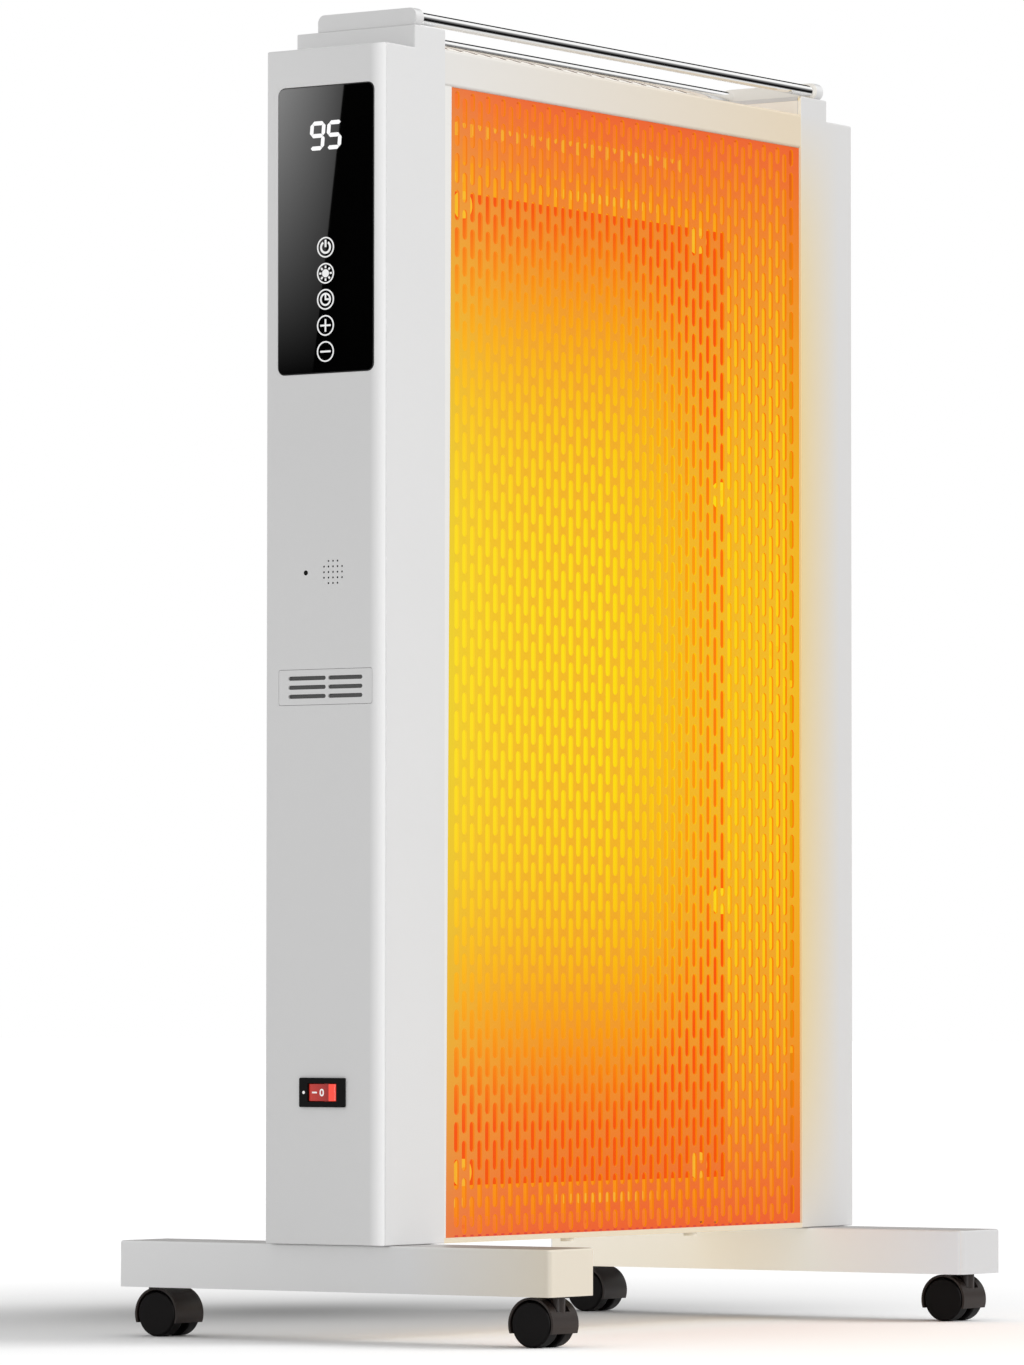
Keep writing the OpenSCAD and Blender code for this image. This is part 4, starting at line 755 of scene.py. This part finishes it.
air_slots = [(x, z) for z in AIR_ROWS for x in xs]
collars = [tube(tidy(air_slot(x, z, 0.02)), tidy(air_slot(x, z, 0.45)), GRILLE_Y - 0.6,
                GRILLE_Y - 3.2) for x, z in air_slots]
rear = put("rear_cover", [sheet(outline(TRAY, TRAY_R, 0, 2), [air_slot(*p) for p in air_slots],
                                GRILLE_Y - SHEET_T, GRILLE_Y, "y"),
                          folded_edge(GRILLE_Y - FOLD, GRILLE_Y - SHEET_T), *collars],
           white_sheet, stands_for=["rear_panel"], facing=True)
more_looks(rear, [inner_glow, washer_glow], by_side)

# %% [markdown]
# Close above and below the glowing sheet the photograph shows two more rows of short bright marks.
# They are taken as ribs pressed into the element's frame, whose rounded tops catch the glow.

# %% Ribs on the element frame
RIB_ROWS, RIB_REACH, RIB_X, RIB_W, RIB_H = (619.8, 70.8), 137, 3.9, 2.0, 5.4
ribs = [slab(around(x + RIB_X, z, RIB_W / 2, RIB_H / 2), [0.9] * 4, -4.9, -4.5, "y",
             (0.2, 0.2), 3) for z in RIB_ROWS for x in xs if abs(x) < RIB_REACH]
put("frame_ribs", ribs, washer_glow)

# %% [markdown]
# ## Trim strip
# Beside the grille's left edge a cream sheet lip shows, wide at the top and narrowing downwards.

# %% Trim strip
def wedge(x0, top, bottom, y0, y1, za, zb, e=0.3):
    """Plate whose width goes from bottom at za to top at zb, with a quarter round in front."""
    rows = [(i, y0 + r) for i, r in rim(e)] + [(0, y1)]
    return skin([lay([[x0, za], [x0 + bottom - i, za], [x0 + top - i, zb], [x0, zb]], "y", y)
                 for i, y in rows])

put("trim_strip", [wedge(-INNER_X, 6.2, 1.6, -HALF_D, -GRILLE_Y, PAN_Z1, RAIL_Z0)],
    trim_white, stands_for=["grille_trim_strip"], facing=True)

# %% [markdown]
# ## Handle
# Two chromed rods run between two end brackets. The bracket is a plate with a full round at its
# front and a softer one at its rear top, and its flat side shows a fine pale edge all round.

# %% Handle brackets and rods
HANDLE_X, HANDLE_T, HANDLE_H = 201.1, 7.6, 9.5
HANDLE_Y0, HANDLE_Y1 = -37.65, 26.35
ROD_Z, ROD_Y = CROWN_Z + HANDLE_H / 2, (-32.9, 21.6)
SIDES = (("left", list), ("right", mirrored))

plate = [slab((HANDLE_Y0, CROWN_Z, HANDLE_Y1, CROWN_Z + HANDLE_H), [4.6, 0.1, 4.2, 4.6],
              -HANDLE_X, -HANDLE_X + HANDLE_T, "x", (0.7, 0.7), 8)]
for (side, turned_over), paint in zip(SIDES, (white_plastic, bracket_plastic_with_painted_light)):
    put(f"{side}_bracket", turned_over(plate), paint,
        stands_for=[f"handle_bracket_{side}"])

chrome = finish("polished chrome", (0.95, 0.95, 0.95), 0.05, 1.0)
rod_ends = [(3.0, -198.5), (3.25, -198.2), (3.25, 198.2), (3.0, 198.5)]
for place, y in zip(("front", "rear"), ROD_Y):
    put(f"chrome_rod_{place}", [turned(rod_ends, (0, y, ROD_Z), "x", 64)], chrome,
        stands_for=[f"handle_rod_{place}"])

# %% [markdown]
# ## Feet
# A foot is one long moulding, open underneath, with a raised seat for the column and a boss over
# each caster. It is the column's recipe again: rings that shrink at the rim, then a wall.

# %% Foot bars
FOOT_HALF_W, FOOT_HALF_L, CASTER_Y = 21.0, 138.5, 129.0

def foot_skin():
    """Skin of the bar, open below: rings from the lower edge up, a quarter round, a flat cap."""
    rect = around(-FOOT_X, 0, FOOT_HALF_W, FOOT_HALF_L)
    rows = [(0.0, FOOT_Z0)] + [(i, FOOT_Z1 - r) for i, r in rim(1.3, 4)[::-1]]
    rings = np.array([lay(outline(rect, [3] * 4, i), "z", h) for i, h in rows])
    n, m = rings.shape[:2]
    return rings.reshape(-1, 3), [bands(n, m), caps(n, m)[1]]

def foot_details():
    """Raised seat, and the two bosses over the casters as tubes."""
    seat = slab(around(-FOOT_X, 0, 19.5, 36.8), [2] * 4, FOOT_Z1 - 1, COL_Z0, "z", (0.1, 0.1))
    boss = [(6.02, FOOT_Z0 + 1), (8.2, FOOT_Z0 + 1), (8.6, FOOT_Z0 + 1.4), (8.6, FOOT_Z1 - 1.2),
            (6.02, FOOT_Z1 - 1.2)]
    return [seat] + [turned(boss, (-FOOT_X, y, 0), "z", 40, True) for y in (-CASTER_Y, CASTER_Y)]

for (side, turned_over), paint in zip(SIDES, (left_foot_paint_with_painted_light_and_shade, right_foot_paint_with_painted_light_and_shade)):
    foot = put(f"{side}_foot", turned_over([foot_skin()]), paint,
               stands_for=[f"{side}_foot_bar"], facing=True)
    walled(foot, FOOT_T)
    put(f"{side}_foot_seat", turned_over(foot_details()), paint)

# %% [markdown]
# ## Finishes on the CAD pieces
# Small and inner pieces already have their true shape in the CAD model. They keep it and get a
# better finish, straight on their own material slots.

# %% More finishes
steel = grain(finish("zinc plated steel", (0.62, 0.63, 0.65), 0.32, 1.0), 0.0009, 6e-6, 0.08)
black_plastic = grain(finish("black plastic", (0.018, 0.018, 0.019), 0.42), 0.0008, 8e-6, 0.08)
caster_plastic = grain(finish("brown black plastic", (0.027, 0.0185, 0.0155), 0.36,
                              Specular_IOR_Level=0.3), 0.0009, 8e-6, 0.06)
wheel_plastic = grain(finish("wheel plastic", (0.004, 0.003, 0.003), 0.4,
                             Specular_IOR_Level=0.12), 0.0009, 8e-6, 0.06)
bezel_plastic = grain(finish("bezel plastic", (0.004, 0.004, 0.004), 0.4,
                             Specular_IOR_Level=0.1), 0.0008, 5e-6, 0.06)
board = grain(finish("green board", (0.02, 0.11, 0.05), 0.35, Coat_Weight=0.4), 0.002, 1e-5)
yellow_tape = grain(finish("winding tape", (0.75, 0.55, 0.08), 0.4), 0.003, 1e-5)
blue_case = grain(finish("relay blue", (0.02, 0.09, 0.35), 0.35), 0.001, 5e-6)
aluminium = grain(finish("cast aluminium", (0.75, 0.76, 0.77), 0.4, 1.0), 0.0007, 1e-5)
ivory = grain(finish("ivory plastic", (0.75, 0.71, 0.60), 0.4), 0.001, 5e-6)
sleeve = grain(finish("glass fibre sleeve", (0.55, 0.28, 0.10), 0.8), 0.0004, 2e-5)
brown_wire = grain(finish("wire insulation", (0.06, 0.03, 0.02), 0.5), 0.001, 5e-6)
spots = [f"{place}_{side}" for place in ("front", "rear") for side in ("left", "right")]
looks = [
    (inner_glow, "control_inner_panel plain_inner_panel element_screws element_brackets"),
    (sheet_glow, "top_outlet_grille"), (pan_glow, "bottom_pan"), (screw_glow, "case_screws"),
    (mica_glow, "mica_sheet_front mica_sheet_rear"), (frame_glow, "element_frame"),
    (washer_glow, "element_washers"), (steel, "heating_ribbon handle_screws touch_springs"),
    (black_plastic, "overheat_thermostat wire_grommet digit_module sounder cord_gland "
                    "tip_over_switch caster_sockets"),
    (sleeve, "element_leads"), (board, "display_board power_board"),
    (bezel_plastic, "receiver_lens switch_frame"), (white_plastic, "vent_insert"),
    (yellow_tape, "transformer"), (blue_case, "power_relays"), (aluminium, "heat_sink"),
    (ivory, "terminal_block"), (brown_wire, "inner_wiring"),
    (caster_plastic, " ".join(f"caster_{p}_{s}" for p in ("hood", "stem") for s in spots)),
    (wheel_plastic, " ".join(f"caster_wheels_{s}" for s in spots))]
for mat, names in looks:
    for name in names.split():
        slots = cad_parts[name].data.materials
        if not slots:
            slots.append(mat)
        for i in range(len(slots)):
            slots[i] = mat
print("finished CAD pieces:", sum(len(names.split()) for _, names in looks))

# %% [markdown]
# ## Display
# The display is a plate of black glass. Glass that black is best made as a very dark, smooth and
# clear surface: what the eye sees on it are reflections only. Its lit signs come in the next cell.

# %% Glass
GLASS_X = -229.9
glass_black = finish("black display glass", (0.001, 0.001, 0.001), 0.012, IOR=1.5)
put("display_plate", [slab(GLASS, [4] * 4, GLASS_X, GLASS_X + 2, "x", (0.35, 0.1), 8)],
    glass_black, stands_for=["display_glass"])

# %% [markdown]
# The two digits are seven-segment digits: each bar has pointed ends, and the digits lean a little.
# The five icons are a ring each, with a power sign, a sun, a clock, a plus and a minus. All could
# be a picture on the glass, but as thin raised shapes they stay sharp from near by. The viewer
# stands on the minus side of X, so reading runs towards minus Y.

# %% Digits and icons
SIGN = (GLASS_X - 0.15, GLASS_X)
BAR_W, DIGIT_W, DIGIT_H, DIGIT_Z, LEAN = 2.15, 7.5, 13.1, 631.6, 0.086
RING_D, RING_T, SYMBOL_D, LINE_T = 10.9, 0.72, 6.9, 0.95
ICON_Z = [572.7 - 13.7 * i for i in range(5)]

def segment(u, z, length, upright, middle):
    """Bar with pointed ends, at u to the right of the digit's middle, leaned with its height."""
    h, w = length / 2, BAR_W / 2
    flat = np.array([[-h, 0], [-h + w, -w], [h - w, -w], [h, 0], [h - w, w], [-h + w, w]])
    flat = flat[:, ::-1] if upright else flat
    y = middle - u - flat[:, 0] - LEAN * (z + flat[:, 1])
    return sheet(np.stack([y, DIGIT_Z + z + flat[:, 1]], 1), [], *SIGN, "x")

def digit(bars, middle):
    """Digit of the named bars: a top, b and c right, d bottom, e and f left, g in the middle."""
    w, h, gap = DIGIT_W / 2, DIGIT_H / 4, 0.3
    places = {"a": (0, 2 * h, 0), "b": (w, h, 1), "c": (w, -h, 1), "d": (0, -2 * h, 0),
              "e": (-w, -h, 1), "f": (-w, h, 1), "g": (0, 0, 0)}
    return [segment(u, z, (2 * h if up else 2 * w) - gap, up, middle)
            for u, z, up in (places[b] for b in bars)]

def ring(z, d, t):
    """Flat ring of outer diameter d and width t."""
    return sheet(round_hole(0, z, d, 10), [round_hole(0, z, d - 2 * t, 10)], *SIGN, "x")

def bar(y, z, w, h, turn=0.0):
    """Flat bar of width w and height h, turned about the icon's middle at height z."""
    flat = np.array([[-w, -h], [w, -h], [w, h], [-w, h]]) / 2 + [y, 0]
    c, s = math.cos(turn), math.sin(turn)
    return sheet(flat @ np.array([[c, s], [-s, c]]) + [0, z], [], *SIGN, "x")

power, sun, clock, plus, minus = ICON_Z
open_ring = np.concatenate([arc(0, power, SYMBOL_D / 2, 122, 418, 40),
                            arc(0, power, SYMBOL_D / 2 - 1.1, 418, 122, 40)])
signs = digit("abcdfg", 5.45) + digit("acdfg", -5.45) + [ring(z, RING_D, RING_T) for z in ICON_Z]
signs += [sheet(open_ring, [], *SIGN, "x"), bar(0, power + 2.0, 1.1, 3.9),
          sheet(round_hole(0, sun, 4.3, 8), [], *SIGN, "x"),
          ring(clock, SYMBOL_D, LINE_T), bar(0, clock + 1.2, LINE_T, 3.2),
          bar(-1.0, clock, 2.4, LINE_T),
          bar(0, plus, 6.6, LINE_T), bar(0, plus + 1.9, LINE_T, 2.8),
          bar(0, plus - 1.9, LINE_T, 2.8), bar(0, minus, 6.6, LINE_T)]
signs += [bar(3.35, sun, 1.3, 1.0, math.radians(45 * i)) for i in range(8)]

lit_icons, lit_digits = (finish(name, (0.10, 0.10, 0.10), 0.6, Emission_Color=(1, 1, 1, 1),
                                Emission_Strength=strength)
                         for name, strength in (("lit icons", 0.76), ("lit digits", 0.93)))
display = put("display_signs", signs, lit_icons, stands_for=["display_marks"],
              facing=True)
more_looks(display, [lit_digits], lambda normal, at: at[2] > 600)

# %% [markdown]
# ## Vent and sounder
# The vent is a flat insert with three rows of slots, and a dark sheet inside them is painted shade
# in the slots. The sounder's holes are so small that only the shade behind them shows, so a dark
# disc close behind is painted shade too.

# %% Vent plate, and painted shade behind the vent and sounder holes
VENT_PITCH, VENT_R = 4.75, 1.1
vent_slots = [outline((y0, z - VENT_R, y1, z + VENT_R), [VENT_R] * 4, 0, 4)
              for z in (VENT_Z - VENT_PITCH, VENT_Z, VENT_Z + VENT_PITCH)
              for y0, y1 in ((-0.25, 23.9), (-23.8, -1.75))]
vent = sheet(outline(around(0, VENT_Z, 30, 9.2), [1.2] * 4), vent_slots, -HALF_W, -228.0, "x")
put("vent_plate", [vent], white_plastic, stands_for=["vent_insert"],
    facing=True)
# Painted shade: a dark sheet inside the vent slots stands for the shade in them.
vent_slot_painted_shade = grain(finish("painted shade in the vent slots", (0.10, 0.10, 0.10), 0.8), 0.0006, 3e-5)
put("vent_shade_sheet", [slab(around(0, VENT_Z, 26, 7), [1] * 4, -228.6, -228.3, "x", (0.05, 0.05),
                         3)], vent_slot_painted_shade)
# Painted shade: a near-black disc behind the sounder holes stands for the shade behind them.
put("sounder_shade_disc", [turned([(8.4, -229.3), (8.4, -229.1)], (0, SOUND_Y, SOUND_Z), "x", 32)],
    bezel_plastic)

# %% [markdown]
# ## Rocker
# The rocker is a red lens with a small lamp in it. Its light is painted to follow how light falls:
# the short face is bright as a painted highlight, and the long face gets darker towards the ridge
# as painted shade. Its drawing is a five-sided outline cut by a circle about the pivot. Both are
# star-shaped, so their common outline is the smaller radius at every angle.

# %% Rocker cap
RIDGE_Y, RIDGE_X, LOW_X, END_Y, ROCKER_R, CAP_H = -5.5, 6.3, 3.9, 9.85, 9.65, 4.45
drawn = np.array([[-LOW_X, END_Y], [-RIDGE_X, RIDGE_Y], [-LOW_X, -END_Y], [3, -END_Y],
                  [3, END_Y]])

def reach(angle):
    """Distance from the pivot to the outline at an angle: the nearest crossing with a side, or
    the circle's radius where that is less."""
    ray = np.array([math.cos(angle), math.sin(angle)])
    a, b = drawn, np.roll(drawn, -1, 0)
    side = b - a
    cross = ray[0] * side[:, 1] - ray[1] * side[:, 0]
    t = (a[:, 0] * side[:, 1] - a[:, 1] * side[:, 0]) / cross
    s = (a[:, 0] * ray[1] - a[:, 1] * ray[0]) / cross
    return min(t[(t > 0) & (s > -1e-9) & (s < 1 + 1e-9)].min(), ROCKER_R)

angles = np.sort(np.concatenate([np.linspace(-np.pi, np.pi, 96, endpoint=False),
                                 np.arctan2(drawn[:, 1], drawn[:, 0])]))
radii = np.array([reach(v) for v in angles])
circle = np.stack([np.cos(angles), np.sin(angles)], 1)
cap_rings = [lay(circle * (radii - i)[:, None] + [-PIVOT_X, SWITCH_Y], "z", z)
             for i, z in heights(SWITCH_Z - CAP_H, SWITCH_Z + CAP_H, 0.25, 0.25)]
pin = turned([(1.5, -5.65), (1.5, 5.65)], (-PIVOT_X, SWITCH_Y, SWITCH_Z), "z", 24)

lens = finish("red lens with painted light", (0.42, 0.011, 0.009), 0.25, Emission_Color=(1.0, 0.085, 0.05, 1))
g = Graph(lens)
_, y, _ = g.place()
ridge = (SWITCH_Y + RIDGE_Y) * MM
# Painted highlight and shade: the glow is strong on the short face and fades towards the ridge on
# the long face.
g.set(Emission_Strength=(y < ridge + 2e-5) * 0.72 + g.ramp(y, ridge, 0.010, 0.0, 0.22))
put("rocker_cap", [skin(cap_rings), pin], grain(lens, 0.002, 2e-6, 0.04), "rocker",
    stands_for=["switch_rocker"])

# %% [markdown]
# The rocker's marks are filled with white, and a white dot on the bezel shows which end is on.
# They are drawn flat and then leaned onto the rocker's long face.

# %% Switch marks
FACE_LEAN = math.atan((RIDGE_X - LOW_X) / (END_Y - RIDGE_Y))
FACE_MIDDLE = (-PIVOT_X - (RIDGE_X + LOW_X) / 2, SWITCH_Y + (END_Y + RIDGE_Y) / 2, SWITCH_Z)

def leaned(part):
    """Turns a part about Z by the lean of the rocker's long face and moves it there."""
    c, s = math.cos(FACE_LEAN), math.sin(FACE_LEAN)
    points, groups = part
    turn = np.array([[c, -s, 0], [s, c, 0], [0, 0, 1]])
    return points @ turn + FACE_MIDDLE, groups

# Painted light: the white mark paint gives off a little light of its own, so the marks stay bright.
mark_paint_with_painted_light = grain(finish("white mark paint with painted light", (0.85, 0.85, 0.85), 0.5,
                          Emission_Color=(1, 0.95, 0.92, 1), Emission_Strength=0.28),
                   0.0006, 3e-6)
line = slab((0.8, -0.42, 4.3, 0.42), [0.1] * 4, -0.1, 0.1, "x", (0.02, 0.02), 3)
oval = sheet(outline((-4.3, -1.95, -1.3, 1.95), [1.5] * 4),
             [outline((-3.5, -1.15, -2.1, 1.15), [0.69] * 4)], -0.1, 0.1, "x")
put("rocker_marks", [leaned(line), leaned(oval)], mark_paint_with_painted_light, "rocker", facing=True)
put("bezel_dot", [turned([(0.8, -0.04), (0.8, 0.3)], (-HALF_W - 1.2, 12.7, SWITCH_Z), "x", 24)],
    mark_paint_with_painted_light)

# %% [markdown]
# ## Camera
# The photograph was taken from the front left and a little below the middle of the heater, with a
# long lens from about four metres. A camera placed by hand gets close. This one was solved from
# the corners of columns, rails and feet, so each of them falls on its place in the picture.

# %% Camera
def look(place, azimuth, pitch, roll, lens):
    """Camera at a place, turned about Z by the azimuth, raised by the pitch, then rolled."""
    a, e, r = (math.radians(v) for v in (azimuth, pitch, roll))
    level, up = Vector((-math.sin(a), math.cos(a), 0)), Vector((0, 0, 1))
    ahead = level * math.cos(e) + up * math.sin(e)
    head = up * math.cos(e) - level * math.sin(e)
    side = Vector((math.cos(a), math.sin(a), 0))
    x, y = side * math.cos(r) + head * math.sin(r), head * math.cos(r) - side * math.sin(r)
    camera = bpy.data.objects.new("camera", bpy.data.cameras.new("camera"))
    bpy.context.collection.objects.link(camera)
    camera.matrix_world = Matrix.Translation(place) @ Matrix((x, y, -ahead)).transposed().to_4x4()
    camera.data.lens = lens
    camera.data.sensor_width = 36
    camera.data.clip_end = 60
    bpy.context.scene.camera = camera
    return camera

camera = look((-3.42484, -2.31129, 0.17469), -55.5376, 2.466, 0.0253, 199.11)
print("camera at", [round(v, 3) for v in camera.location], "lens", camera.data.lens)

# %% [markdown]
# ## Studio
# A pale floor and an even sky-like light give soft shade, and one broad lamp from the front right
# makes the front faces paler than the left side, as in the photograph. The floor shows itself to
# the camera paler than it lights the heater, so it fades into the white background but still takes
# the heater's shadow. The photograph's floor also has a broad shade behind the left foot, wider
# than any lamp here casts, so the floor's colour is a little darker there.

# %% Floor, world and lamp
def stage_sheet(name, corners, mat):
    """Flat piece of the studio, in metres, which isn't part of the heater."""
    mesh = bpy.data.meshes.new(name)
    mesh.from_pydata(corners, [], [tuple(range(len(corners)))])
    mesh.materials.append(mat)
    piece = bpy.data.objects.new(name, mesh)
    bpy.context.collection.objects.link(piece)
    return piece

FLOOR_HALF, FLOOR_LIT, FLOOR_SEEN, SKY = 30.0, 0.86, 1.22, 0.645
pale = finish("pale floor", (1, 1, 1), 1.0)
g = Graph(pale)
x, y, _ = g.place()

def soft_shade(amount, reach_x, reach_y, at_x=0.10, at_y=0.27):
    """amount exp(-u u - v v), with u and v the distances from a place in reaches."""
    u, v = (x - at_x) / reach_x, (y - at_y) / reach_y
    return ((u * u + v * v) * -1.0).exp() * amount

shade = (soft_shade(0.36, 0.16, 0.12) + soft_shade(0.34, 0.50, 0.36)
         + soft_shade(0.18, 0.14, 0.13, 0.24, 0.10))
tone = g.node("Mix", {"Factor": g.rays("Camera")[0], "A": FLOOR_LIT,
                      "B": (1.0 - shade) * FLOOR_SEEN}, data_type="FLOAT")["Result"]
g.nodes.remove(g.shader)
matte = g.node("BsdfDiffuse", {"Color": tone})[0]
g.feed(g.nodes["Material Output"].inputs["Surface"], matte)
stage_sheet("floor", [(u * FLOOR_HALF, v * FLOOR_HALF, 0)
                      for u, v in ((-1, -1), (1, -1), (1, 1), (-1, 1))], pale)

world = bpy.data.worlds.new("studio")
bpy.context.scene.world = world
world.use_nodes = True
g = Graph(world)
camera_ray, mirror_ray, glass_ray = g.rays("Camera", "Glossy", "Transmission")
sky = g.nodes["Background"]
sky.inputs["Color"].default_value = (1, 1, 1, 1)
g.feed(sky.inputs["Strength"],
       g.ramp(camera_ray.at_least(mirror_ray).at_least(glass_ray), 0.0, 1.0, SKY, 1.0))

# %% [markdown]
# Black glass and chrome have no look of their own: they show the studio. In the photograph the
# glass mirrors a bright board with a slanted edge that fades downwards, and the chrome rods mirror
# dark boards in front and behind. So these boards stand here too, and only reflections see them.

# %% Boards for reflections
def board_in_studio(name, corners, tone=None):
    """Flat board that only mirror rays meet. Tone gives the strength of its light for a point,
    and without it the board is black."""
    mat = finish(name, (0, 0, 0), 1, Specular_IOR_Level=0)
    if tone:
        g = Graph(mat)
        g.set(Emission_Color=(1, 1, 1, 1), Emission_Strength=tone(*g.place()))
    card = stage_sheet(name, corners, mat)
    card.visible_camera = card.visible_diffuse = card.visible_shadow = False
    card.visible_transmission = card.visible_volume_scatter = False

def upright(x0, y0, x1, y1, low, high):
    """Corners of an upright board between two places on the floor."""
    return [(x0, y0, low), (x1, y1, low), (x1, y1, high), (x0, y0, high)]

def fading(x, y, z):
    """4 ((z - 0.57) / 0.175) ** 1.35, less where y is smaller: 1 - 16.5 (0.513 - y)."""
    return ((z - 0.57) / 0.175).at_least(0.0) ** 1.35 * 4.0 * (1.0 - (0.513 - y) * 16.5)

def dark_in_the_middle(x, y, z):
    """1.8 d ** 2 above z = 0.55 and 0.75 d ** 2 below it, where d is the distance from there."""
    d = z - 0.55
    return d * d * ((d > 0.0) * 1.05 + 0.75)

board_in_studio("slanted board", [(-0.9, 0.4653, 0.80), (-0.9, 0.60, 0.80), (-0.9, 0.60, 0.55),
                                  (-0.9, 0.4985, 0.55)], fading)
board_in_studio("black board left", upright(-0.905, 0.38, -0.905, 0.60, 0.50, 0.83))
board_in_studio("grey board in front", upright(0.50, -0.633, 1.75, -0.633, 0.08, 1.28),
                dark_in_the_middle)
board_in_studio("low black board", upright(0.5, 1.0, 2.2, 1.0, 0.03, 0.32))
board_in_studio("strip light", upright(-1.03, -1.41, -1.23, -1.27, 0.02, 1.5),
                lambda x, y, z: 14.0)
board_in_studio("leaning black board", [(0.50, 0.57, 0.70), (3.30, 0.57, 0.70),
                                        (3.30, 0.05, 2.20), (0.50, 0.05, 2.20)])

# %% Lamp
lamp = bpy.data.objects.new("broad lamp", bpy.data.lights.new("broad lamp", "SUN"))
lamp.data.energy = 1.32
lamp.data.angle = math.radians(35)
lamp.rotation_mode = "QUATERNION"
lamp.rotation_quaternion = Vector((0.44, -0.66, 0.58)).to_track_quat("Z", "Y")
bpy.context.collection.objects.link(lamp)
bpy.context.scene.view_settings.view_transform = "Standard"

# %% [markdown]
# ## Sizes beside the CAD
# The last cell notes the size of the dressed model beside the CAD's, so the two can be compared.

# %% Each dressed piece beside the CAD pieces it stands for
bpy.context.view_layer.update()
depsgraph = bpy.context.evaluated_depsgraph_get()
for piece, names in dressed:
    seen = np.array([v.co[:] for v in piece.evaluated_get(depsgraph).data.vertices])
    lows, highs = zip(*(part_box(n) for n in names))
    off = np.concatenate([seen.min(0) - np.min(lows, 0), seen.max(0) - np.max(highs, 0)]) / MM
    print(f"{piece.name}: box off by {np.round(off, 2).tolist()} mm")
